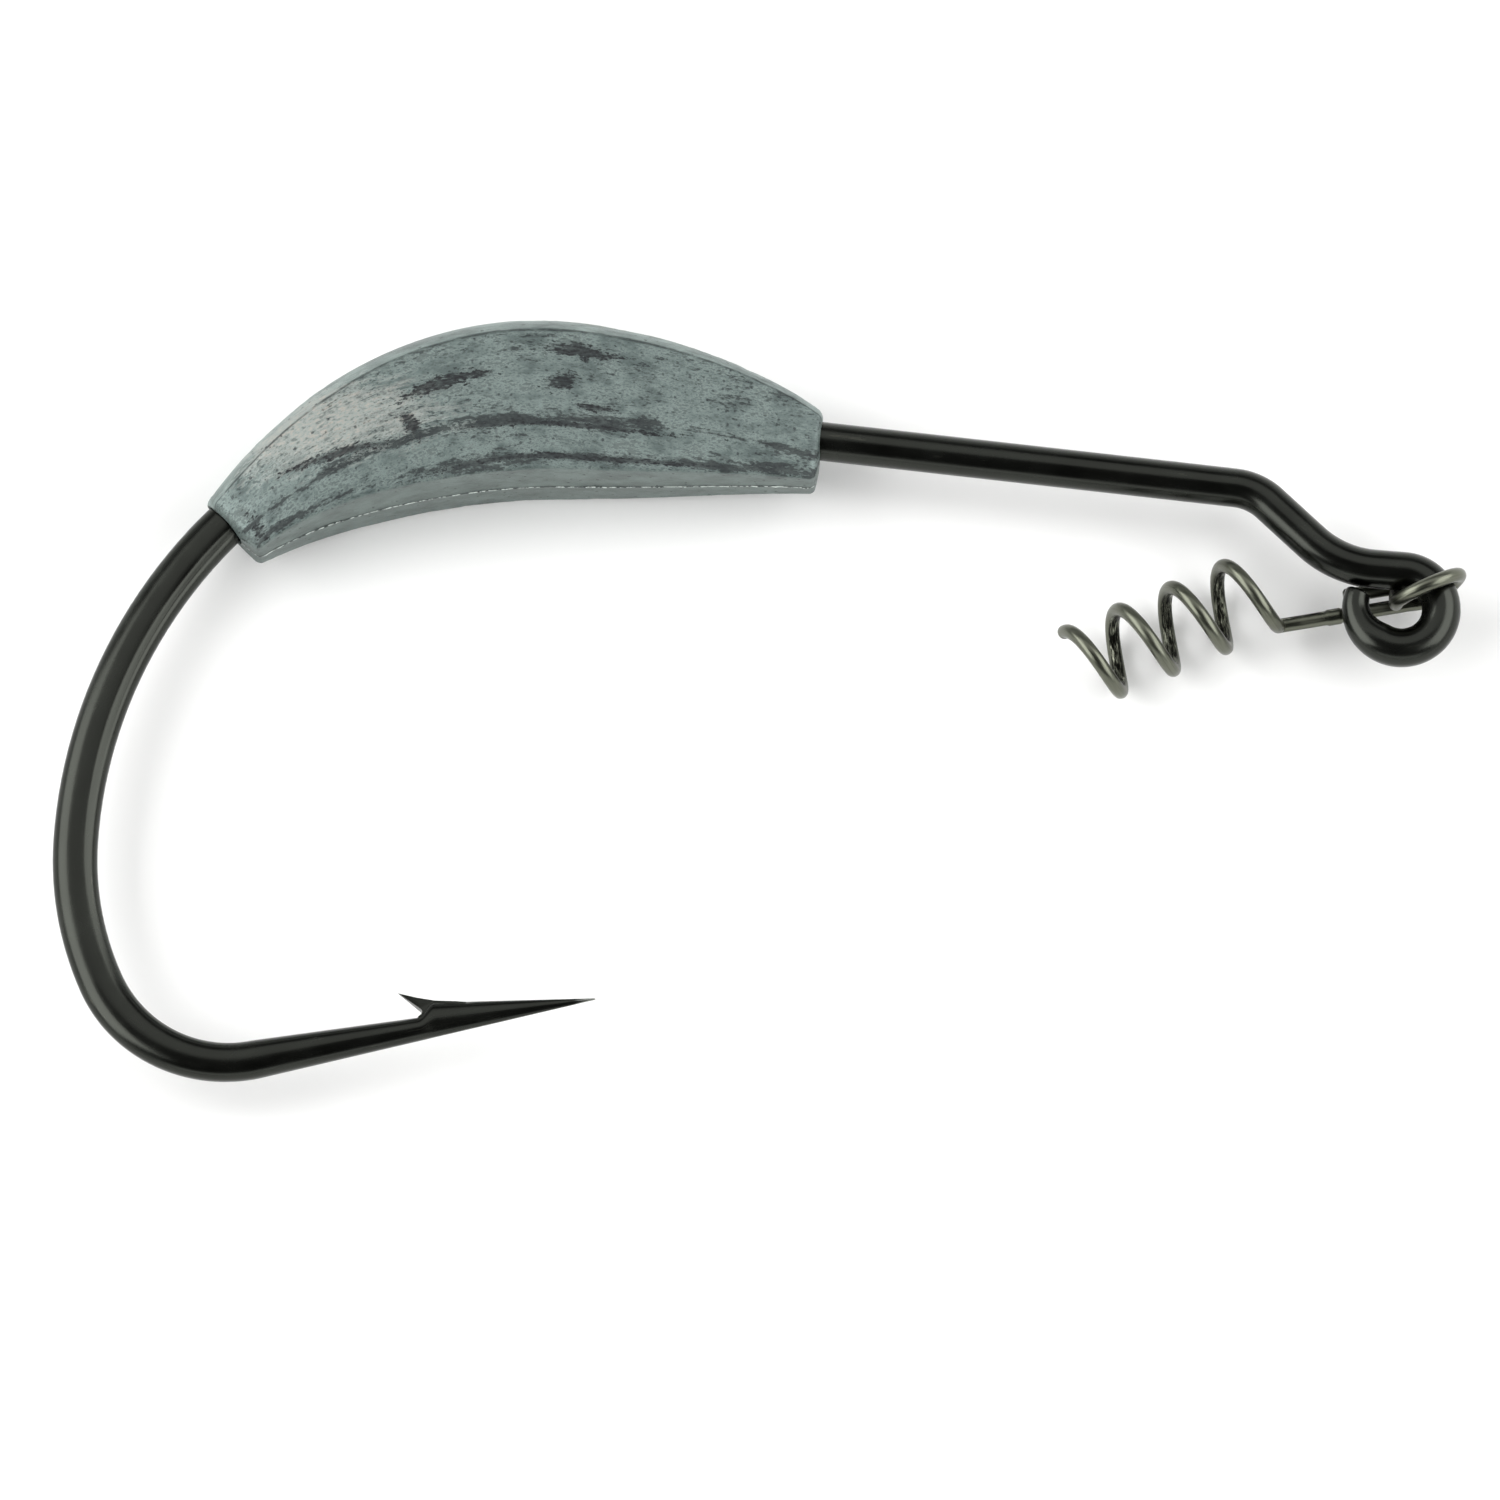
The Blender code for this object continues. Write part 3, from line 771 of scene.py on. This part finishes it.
def add_node(tree, kind, inputs=None, **settings):
    """Adds a node and its settings. An input takes a value, a socket, or another node's result.

    Inputs go by name or by number. Map Range takes a value (0) from one range (1, 2) to another
    (3, 4), which is 0 to 1 if not given. Mix takes a share (0) and two colours (6, 7).
    """
    node = tree.nodes.new("ShaderNode" + kind)
    for name, value in settings.items():
        setattr(node, name, value)
    for name, value in (inputs or {}).items():
        if isinstance(value, bpy.types.Node):
            value = next(socket for socket in value.outputs if socket.enabled)
        if isinstance(value, bpy.types.NodeSocket):
            tree.links.new(value, node.inputs[name])
        else:
            node.inputs[name].default_value = value
    return node


def finish(tree, shader, tone, gloss, relief, strength, depth):
    """Links the colour, the roughness and the relief, whose full height is depth metres."""
    bump = add_node(tree, "Bump", {"Height": relief, "Strength": strength, "Distance": depth})
    tree.links.new(tone.outputs[2], shader.inputs["Base Color"])
    tree.links.new(gloss.outputs[0], shader.inputs["Roughness"])
    tree.links.new(bump.outputs["Normal"], shader.inputs["Normal"])


def per_metre(*sizes):
    """The scale that gives a pattern these sizes in metres, in each direction."""
    return tuple(1 / size for size in sizes)


def black_nickel_steel():
    """Carbon steel wire under black nickel plate: near-black and glossy, with soft bands of
    reflected light, faint drawing lines along the wire, fine plating grain and a few dull rubs.
    The plate is ground off the last millimetre of the point, which shows pale steel."""
    look, tree, shader = new_look("black_nickel_plated_steel")
    place = add_node(tree, "Attribute", attribute_name="surface_place")
    # Drawing lines are 0.1 mm wide and run for several millimetres.
    lines = add_node(tree, "Mapping", {"Vector": place, "Scale": per_metre(9 * MM, 0.1 * MM, 1)})
    lines = add_node(tree, "TexNoise", {"Vector": lines, "Scale": 1.0, "Detail": 4.0})
    # The plate's tone and gloss drift over 1 to 2.4 mm.
    drift = add_node(tree, "Mapping", {"Vector": place, "Scale": per_metre(2.4 * MM, 1.1 * MM, 1)})
    drift = add_node(tree, "TexNoise", {"Vector": drift, "Scale": 1.0, "Detail": 3.0})
    # Plating grain of 0.08 mm, coarser than the real one so that it shows.
    fine = add_node(tree, "Mapping", {"Vector": place, "Scale": per_metre(0.1 * MM, 0.08 * MM, 1)})
    fine = add_node(tree, "TexNoise", {"Vector": fine, "Scale": 1.0, "Detail": 2.0})
    rubs = add_node(tree, "Mapping", {"Vector": place, "Scale": per_metre(3.5 * MM, 0.5 * MM, 1)})
    rubs = add_node(tree, "TexNoise", {"Vector": rubs, "Scale": 1.0, "Detail": 7.0, "Roughness": 0.7})
    wear_and_highlight = add_node(tree, "MapRange", {0: rubs, 1: 0.62, 2: 0.74})
    tone = add_node(
        tree, "Mix", {0: drift, 6: linear("#2e2f2c"), 7: linear("#3b3d39")}, data_type="RGBA"
    )
    worn = add_node(tree, "Math", {0: wear_and_highlight, 1: 0.35}, operation="MULTIPLY")
    tone = add_node(tree, "Mix", {0: worn, 6: tone, 7: linear("#6b6a60")}, data_type="RGBA")
    along = add_node(tree, "SeparateXYZ", {"Vector": place}).outputs["X"]
    ragged = add_node(tree, "Math", {0: lines, 1: 0.6 * MM, 2: along}, operation="MULTIPLY_ADD")
    bare_from = HOOK_LENGTH - 0.75 * MM
    bare = add_node(tree, "MapRange", {0: ragged, 1: bare_from, 2: bare_from + 0.5 * MM})
    tone = add_node(tree, "Mix", {0: bare, 6: tone, 7: linear("#9a9c97")}, data_type="RGBA")
    gloss = add_node(tree, "MapRange", {0: drift, 1: 0.3, 2: 0.72, 3: 0.2, 4: 0.3})
    gloss = add_node(tree, "Math", {0: wear_and_highlight, 1: 0.12, 2: gloss}, operation="MULTIPLY_ADD")
    relief = add_node(tree, "Math", {0: fine, 1: 0.5, 2: lines}, operation="MULTIPLY_ADD")
    shader.inputs["Metallic"].default_value = 1.0
    finish(tree, shader, tone, gloss, relief, 0.2, 0.012 * MM)
    return look


def spring_wire():
    """Drawn stainless spring wire, tempered to a smoky green-grey: a satin shine and fine die
    lines outside, and scoring where it was wound on its mandrel. The faces towards the coil's
    axis carry painted shade, broken up by the scoring, with pale flecks."""
    look, tree, shader = new_look("drawn_stainless_spring_wire")
    place = add_node(tree, "Attribute", attribute_name="surface_place")
    facing = add_node(tree, "SeparateXYZ", {"Vector": place}).outputs["Z"]
    inner = add_node(tree, "MapRange", {0: facing, 1: 0.45, 2: 0.75})
    lines = add_node(tree, "Mapping", {"Vector": place, "Scale": per_metre(5 * MM, 0.06 * MM, 50)})
    lines = add_node(tree, "TexNoise", {"Vector": lines, "Scale": 1.0, "Detail": 3.0})
    drift = add_node(tree, "Mapping", {"Vector": place, "Scale": per_metre(1.7 * MM, 0.6 * MM, 50)})
    drift = add_node(tree, "TexNoise", {"Vector": drift, "Scale": 1.0, "Detail": 4.0})
    # Scores of about 0.1 by 1 mm, torn along the wire.
    scores_and_shade_pattern = add_node(tree, "Mapping", {"Vector": place, "Scale": per_metre(0.9 * MM, 0.12 * MM, 50)})
    scores_and_shade_pattern = add_node(
        tree,
        "TexNoise",
        {"Vector": scores_and_shade_pattern, "Scale": 1.0, "Detail": 6.0, "Roughness": 0.7, "Distortion": 0.6},
    )
    # Painted shade: the faces towards the coil's axis are darkened nearly to black, broken up by the
    # scoring pattern, with pale flecks.
    black = add_node(tree, "MapRange", {0: scores_and_shade_pattern, 1: 0.44, 2: 0.52})
    black = add_node(tree, "Math", {0: black, 1: inner}, operation="MULTIPLY")
    fleck = add_node(tree, "MapRange", {0: scores_and_shade_pattern, 1: 0.4, 2: 0.34})
    fleck = add_node(tree, "Math", {0: fleck, 1: inner}, operation="MULTIPLY")
    tone = add_node(
        tree, "Mix", {0: drift, 6: linear("#56584d"), 7: linear("#717367")}, data_type="RGBA"
    )
    stained = add_node(tree, "MapRange", {0: lines, 1: 0.5, 2: 0.75, 3: 0.0, 4: 0.5})
    tone = add_node(tree, "Mix", {0: stained, 6: tone, 7: linear("#34352d")}, data_type="RGBA")
    # Painted shade on the faces towards the coil's axis, then the pale flecks.
    tone = add_node(tree, "Mix", {0: black, 6: tone, 7: linear("#12120f")}, data_type="RGBA")
    tone = add_node(tree, "Mix", {0: fleck, 6: tone, 7: linear("#a3a595")}, data_type="RGBA")
    gloss = add_node(tree, "MapRange", {0: drift, 1: 0.3, 2: 0.7, 3: 0.26, 4: 0.36})
    gloss = add_node(tree, "Math", {0: black, 1: 0.2, 2: gloss}, operation="MULTIPLY_ADD")
    torn = add_node(tree, "Math", {0: scores_and_shade_pattern, 1: inner}, operation="MULTIPLY")
    relief = add_node(tree, "Math", {0: torn, 1: 3.0, 2: lines}, operation="MULTIPLY_ADD")
    shader.inputs["Metallic"].default_value = 1.0
    finish(tree, shader, tone, gloss, relief, 0.35, 0.015 * MM)
    return look


def near_side_patch(tree, place, rough, along, height, half_length, half_width, slant=0.0, ragged=6.0):
    """A ragged patch on the near side, for a burnt mark and for the painted highlight, in millimetres
    from the casting's eye end and from the wire.
    """
    here = add_node(
        tree,
        "Mapping",
        {
            "Vector": place,
            "Location": (along * MM, height * MM, WEIGHT_HALF_WIDTH),
            "Rotation": (0.0, 0.0, radians(slant)),
            "Scale": (half_length * MM, half_width * MM, 2 * MM),
        },
        vector_type="TEXTURE",
    )
    away = add_node(tree, "VectorMath", {0: here}, operation="LENGTH")
    torn = add_node(tree, "Math", {0: rough, 1: ragged, 2: away}, operation="MULTIPLY_ADD")
    limit = 1 + ragged / 2
    return add_node(tree, "MapRange", {0: torn, 1: limit, 2: limit - 0.4})


# Burnt marks on the casting's near side: millimetres from its eye end and from the wire, half
# length, half width, and slant in degrees
BURNT_MARKS = [
    (25.0, 0.97, 3.2, 0.26, -10),
    (20.9, 0.95, 0.42, 0.95, 22),
    (18.8, -0.95, 2.4, 0.46, 9),
    (12.4, -2.45, 2.1, 0.44, 0),
    (13.1, -0.75, 0.9, 0.55, 30),
    (11.3, 0.45, 1.0, 0.22, 0),
    (11.6, 1.45, 5.6, 0.14, 2),
    (11.0, 3.0, 9.5, 0.17, 4),
    (30.8, 1.7, 0.35, 1.1, -12),
]
# Painted highlight: a paler patch on the near side towards the bend, placed like the marks above,
# then how ragged its rim is
PAINTED_HIGHLIGHT_AREA = (25.8, -1.1, 7.6, 2.4, -14)
PAINTED_HIGHLIGHT_RAGGEDNESS = 4.0


def lead_patterns(tree, place):
    """Mottling of 1 to 1.7 mm, streaks of 1.6 by 0.3 mm, specks of 0.3 by 0.14 mm, and regions
    of a few millimetres where marks gather."""
    mottle = add_node(tree, "Mapping", {"Vector": place, "Scale": per_metre(1.7 * MM, MM, MM)})
    mottle = add_node(
        tree, "TexNoise", {"Vector": mottle, "Scale": 1.0, "Detail": 8.0, "Roughness": 0.66}
    )
    streak = add_node(
        tree, "Mapping", {"Vector": place, "Scale": per_metre(1.6 * MM, 0.3 * MM, 0.8 * MM)}
    )
    streak = add_node(
        tree,
        "TexNoise",
        {"Vector": streak, "Scale": 1.0, "Detail": 8.0, "Roughness": 0.68, "Distortion": 0.3},
    )
    specks = add_node(
        tree, "Mapping", {"Vector": place, "Scale": per_metre(0.3 * MM, 0.14 * MM, 0.24 * MM)}
    )
    specks = add_node(
        tree, "TexNoise", {"Vector": specks, "Scale": 1.0, "Detail": 4.0, "Roughness": 0.65}
    )
    region = add_node(
        tree, "Mapping", {"Vector": place, "Scale": per_metre(5 * MM, 2.2 * MM, 3 * MM)}
    )
    region = add_node(tree, "TexNoise", {"Vector": region, "Scale": 1.0, "Detail": 2.0})
    return mottle, streak, specks, region


def oxide_skin(tree, mottle, specks, wear_and_highlight, across, on_side):
    """Clean skin, with a painted highlight and warm pale specks in it towards the bend, dark grit
    on the sides and a darker belly."""
    pale = add_node(tree, "MapRange", {0: mottle, 1: 0.38, 2: 0.62})
    tone = add_node(
        tree, "Mix", {0: pale, 6: linear("#566260"), 7: linear("#83918d")}, data_type="RGBA"
    )
    # Painted highlight: paler skin in the patch towards the bend, with warm pale specks in it.
    brighter = add_node(tree, "Math", {0: wear_and_highlight, 1: 0.6}, operation="MULTIPLY")
    tone = add_node(tree, "Mix", {0: brighter, 6: tone, 7: linear("#a3a8a3")}, data_type="RGBA")
    warm = add_node(tree, "MapRange", {0: specks, 1: 0.5, 2: 0.64, 4: 0.55})
    warm = add_node(tree, "Math", {0: warm, 1: wear_and_highlight}, operation="MULTIPLY")
    tone = add_node(tree, "Mix", {0: warm, 6: tone, 7: linear("#c0b3a8")}, data_type="RGBA")
    grit = add_node(tree, "MapRange", {0: specks, 1: 0.47, 2: 0.38, 4: 0.55})
    grit = add_node(tree, "Math", {0: grit, 1: on_side}, operation="MULTIPLY")
    tone = add_node(tree, "Mix", {0: grit, 6: tone, 7: linear("#3b4342")}, data_type="RGBA")
    on_belly = add_node(tree, "MapRange", {0: across, 1: 0.985, 2: 1.01, 4: 0.5})
    return add_node(tree, "Mix", {0: on_belly, 6: tone, 7: linear("#46504b")}, data_type="RGBA")


def burnt_streaks(tree, torn, mottle, specks, region, across):
    """Lubricant burnt on in streaks and blotches, most of all along the ridge and the edge."""
    from_ridge = add_node(tree, "Math", {0: across, 1: 1 - RIDGE_ACROSS}, operation="SUBTRACT")
    from_ridge = add_node(tree, "Math", {0: from_ridge}, operation="ABSOLUTE")
    on_ridge = add_node(tree, "MapRange", {0: from_ridge, 1: 0.06, 2: 0.0, 4: 0.13})
    from_edge = add_node(tree, "Math", {0: across, 1: 0.92}, operation="SUBTRACT")
    from_edge = add_node(tree, "Math", {0: from_edge}, operation="ABSOLUTE")
    on_edge = add_node(tree, "MapRange", {0: from_edge, 1: 0.09, 2: 0.0, 4: 0.12})
    more = add_node(tree, "Math", {0: on_ridge, 1: on_edge}, operation="ADD")
    more = add_node(tree, "Math", {0: region, 1: 0.3, 2: more}, operation="MULTIPLY_ADD")
    burnt = add_node(tree, "Math", {0: torn, 1: more}, operation="ADD")
    burnt = add_node(tree, "MapRange", {0: burnt, 1: 0.685, 2: 0.76, 4: 0.95})
    blotch = add_node(tree, "Math", {0: mottle, 1: specks}, operation="ADD")
    blotch = add_node(tree, "MapRange", {0: blotch, 1: 1.05, 2: 1.14, 4: 0.6})
    return add_node(tree, "Math", {0: burnt, 1: blotch}, operation="MAXIMUM")


def crease_shade_line(tree, torn, across):
    """Painted shade: a thin patchy dark line along the edge between each side and the back."""
    crease = add_node(tree, "Math", {0: across, 1: 0.005}, operation="SUBTRACT")
    crease = add_node(tree, "Math", {0: crease}, operation="ABSOLUTE")
    crease = add_node(tree, "MapRange", {0: crease, 1: 0.017, 2: 0.005})
    patchy = add_node(tree, "MapRange", {0: torn, 1: 0.4, 2: 0.52, 4: 0.85})
    return add_node(tree, "Math", {0: crease, 1: patchy}, operation="MULTIPLY")


def parting_line(tree, place, specks, tone):
    """A dark line beside the flash, whose broken crumbs are bright bare lead."""
    level = add_node(tree, "SeparateXYZ", {"Vector": place}).outputs["Z"]
    level = add_node(tree, "Math", {0: level}, operation="ABSOLUTE")
    beside = add_node(tree, "MapRange", {0: level, 1: 0.13 * MM, 2: 0.08 * MM, 4: 0.85})
    tone = add_node(tree, "Mix", {0: beside, 6: tone, 7: linear("#2c3231")}, data_type="RGBA")
    crumb = add_node(tree, "MapRange", {0: level, 1: 0.07 * MM, 2: 0.03 * MM})
    broken = add_node(tree, "MapRange", {0: specks, 1: 0.46, 2: 0.54})
    crumb = add_node(tree, "Math", {0: crumb, 1: broken}, operation="MULTIPLY")
    return add_node(tree, "Mix", {0: crumb, 6: tone, 7: linear("#c9d2cd")}, data_type="RGBA")


def cast_lead():
    """Lead as it comes from the mould: a dull grey-green oxide skin, mottled and pitted, with
    dark lubricant burnt into the ridge and the edge of each side, short flow streaks along the
    casting, a painted highlight towards the bend, and smooth plain faces on the belly and the
    back."""
    look, tree, shader = new_look("cast_lead_oxide_skin")
    place = add_node(tree, "Attribute", attribute_name="surface_place")
    side = add_node(tree, "Attribute", attribute_name="side_place")
    parts = add_node(tree, "SeparateXYZ", {"Vector": side})
    across, on_side = parts.outputs["X"], parts.outputs["Y"]
    mottle, streak, specks, region = lead_patterns(tree, place)
    torn = add_node(tree, "Math", {0: streak, 1: specks}, operation="ADD")
    torn = add_node(tree, "Math", {0: torn, 1: 0.5}, operation="MULTIPLY")
    # Painted highlight: a ragged paler patch on the near side towards the bend.
    wear_and_highlight = near_side_patch(tree, place, torn, *PAINTED_HIGHLIGHT_AREA, PAINTED_HIGHLIGHT_RAGGEDNESS)
    tone = oxide_skin(tree, mottle, specks, wear_and_highlight, across, on_side)

    # The painted highlight hides most of the streaks, but not the heavier marks.
    burnt = burnt_streaks(tree, torn, mottle, specks, region, across)
    fade_under_highlight = add_node(tree, "Math", {0: wear_and_highlight, 1: -0.8, 2: 1.0}, operation="MULTIPLY_ADD")
    burnt = add_node(tree, "Math", {0: burnt, 1: fade_under_highlight}, operation="MULTIPLY")
    for mark in BURNT_MARKS:
        spot = near_side_patch(tree, place, torn, *mark)
        burnt = add_node(tree, "Math", {0: burnt, 1: spot}, operation="MAXIMUM")
    burnt = add_node(tree, "Math", {0: burnt, 1: on_side}, operation="MULTIPLY")
    # Painted shade: a thin dark line along the edge between each side and the back, joined to the
    # burnt marks.
    crease = crease_shade_line(tree, torn, across)
    burnt = add_node(tree, "Math", {0: burnt, 1: crease}, operation="MAXIMUM")
    # Dark tone of the burnt marks and of the painted crease shade.
    soot_and_shade = add_node(
        tree, "Mix", {0: mottle, 6: linear("#0c0f14"), 7: linear("#1f2023")}, data_type="RGBA"
    )
    uneven = add_node(tree, "MapRange", {0: specks, 1: 0.38, 2: 0.6, 3: 0.98, 4: 0.8})
    dark = add_node(tree, "Math", {0: burnt, 1: uneven}, operation="MULTIPLY")
    tone = add_node(tree, "Mix", {0: dark, 6: tone, 7: soot_and_shade}, data_type="RGBA")

    # Pits lie about 0.55 mm apart and are about 0.15 mm across.
    pits = add_node(tree, "TexVoronoi", {"Vector": place, "Scale": 1 / (0.55 * MM)})
    pits = add_node(tree, "Math", {0: specks, 1: 0.35, 2: pits}, operation="MULTIPLY_ADD")
    pitted = add_node(tree, "MapRange", {0: pits, 1: 0.33, 2: 0.27})
    dark = add_node(tree, "Math", {0: pitted, 1: 0.7}, operation="MULTIPLY")
    tone = add_node(tree, "Mix", {0: dark, 6: tone, 7: linear("#2c3134")}, data_type="RGBA")
    tone = parting_line(tree, place, specks, tone)

    gloss = add_node(tree, "MapRange", {0: mottle, 1: 0.3, 2: 0.7, 3: 0.38, 4: 0.5})
    gloss = add_node(tree, "Math", {0: burnt, 1: 0.15, 2: gloss}, operation="MULTIPLY_ADD")
    relief = add_node(tree, "Math", {0: pitted, 1: -1.0, 2: streak}, operation="MULTIPLY_ADD")
    relief = add_node(tree, "Math", {0: specks, 1: 0.5, 2: relief}, operation="MULTIPLY_ADD")
    shader.inputs["Metallic"].default_value = 0.4
    finish(tree, shader, tone, gloss, relief, 0.7, 0.06 * MM)
    return look


# ---------------------------------------------------------------- stage, light and camera


def pale_floor():
    """A sheet of matt white board under the object."""
    lowest = cad_box[0].z
    half = FLOOR_SIZE / 2
    signs = ((-1, -1), (1, -1), (1, 1), (-1, 1))
    data = bpy.data.meshes.new("floor")
    data.from_pydata([(x * half, y * half, lowest) for x, y in signs], [], [(0, 1, 2, 3)])
    floor = bpy.data.objects.new("floor", data)
    bpy.context.scene.collection.objects.link(floor)
    look, _, shader = new_look("matt_white_board")
    shader.inputs["Base Color"].default_value = linear("#f6f6f5")
    shader.inputs["Roughness"].default_value = 0.9
    data.materials.append(look)


def soft_box(name, azimuth, elevation, distance, size, brightness):
    """An area light aimed at the object's middle. Azimuth 0 is in front and 90 to the right."""
    light = bpy.data.lights.new(name, "AREA")
    light.shape = "RECTANGLE"
    light.size, light.size_y = size
    light.energy = brightness * pi * size[0] * size[1]
    lamp = bpy.data.objects.new(name, light)
    bpy.context.scene.collection.objects.link(lamp)
    turn, rise = radians(azimuth), radians(elevation)
    away = Vector((sin(turn) * cos(rise), -cos(turn) * cos(rise), sin(rise)))
    lamp.location = OBJECT_MIDDLE + away * distance
    lamp.rotation_mode = "QUATERNION"
    lamp.rotation_quaternion = (-away).to_track_quat("-Z", "Y")


def studio():
    """Soft boxes at each side, weaker ones behind and in front, pale walls and a dark ceiling."""
    world = bpy.data.worlds.new("studio_room")
    world.use_nodes = True
    background = world.node_tree.nodes["Background"]
    background.inputs["Color"].default_value = linear("#f4f6f5")
    bpy.context.scene.world = world
    heading = add_node(world.node_tree, "TexCoord").outputs["Generated"]
    height = add_node(world.node_tree, "SeparateXYZ", {"Vector": heading}).outputs["Z"]
    fading = add_node(
        world.node_tree,
        "MapRange",
        {0: height, 1: 0.12, 2: 0.42, 3: 0.95, 4: 0.07},
        interpolation_type="SMOOTHSTEP",
    )
    world.node_tree.links.new(fading.outputs[0], background.inputs["Strength"])
    soft_box("left_box", 270, 36, 0.45, (0.6, 0.36), 4.1)
    soft_box("right_box", 90, 36, 0.45, (0.6, 0.36), 3.6)
    soft_box("back_box", 180, 60, 0.5, (0.6, 0.4), 1.0)
    soft_box("front_box", 0, 14, 0.5, (0.6, 0.14), 0.9)


def camera():
    """Looks down steeply from the front with a very long lens."""
    lens, sensor, view_width = 1.0, 0.036, 75.0 * MM
    data = bpy.data.cameras.new("camera")
    data.lens = lens / MM
    data.sensor_width = sensor / MM
    data.clip_start, data.clip_end = 0.1, 10
    eye = bpy.data.objects.new("camera", data)
    bpy.context.scene.collection.objects.link(eye)
    elevation = radians(73.5)
    away = Vector((0, -cos(elevation), sin(elevation)))
    target = Vector((-32.6, -7.33, 0)) * MM
    eye.location = target + away * (view_width * lens / sensor)
    eye.rotation_mode = "QUATERNION"
    eye.rotation_quaternion = (-away).to_track_quat("-Z", "Y")
    bpy.context.scene.camera = eye


camera()
studio()
pale_floor()
bpy.context.scene.view_settings.view_transform = "Standard"
forged_hook()
belly_weight()
screw_lock_spring()
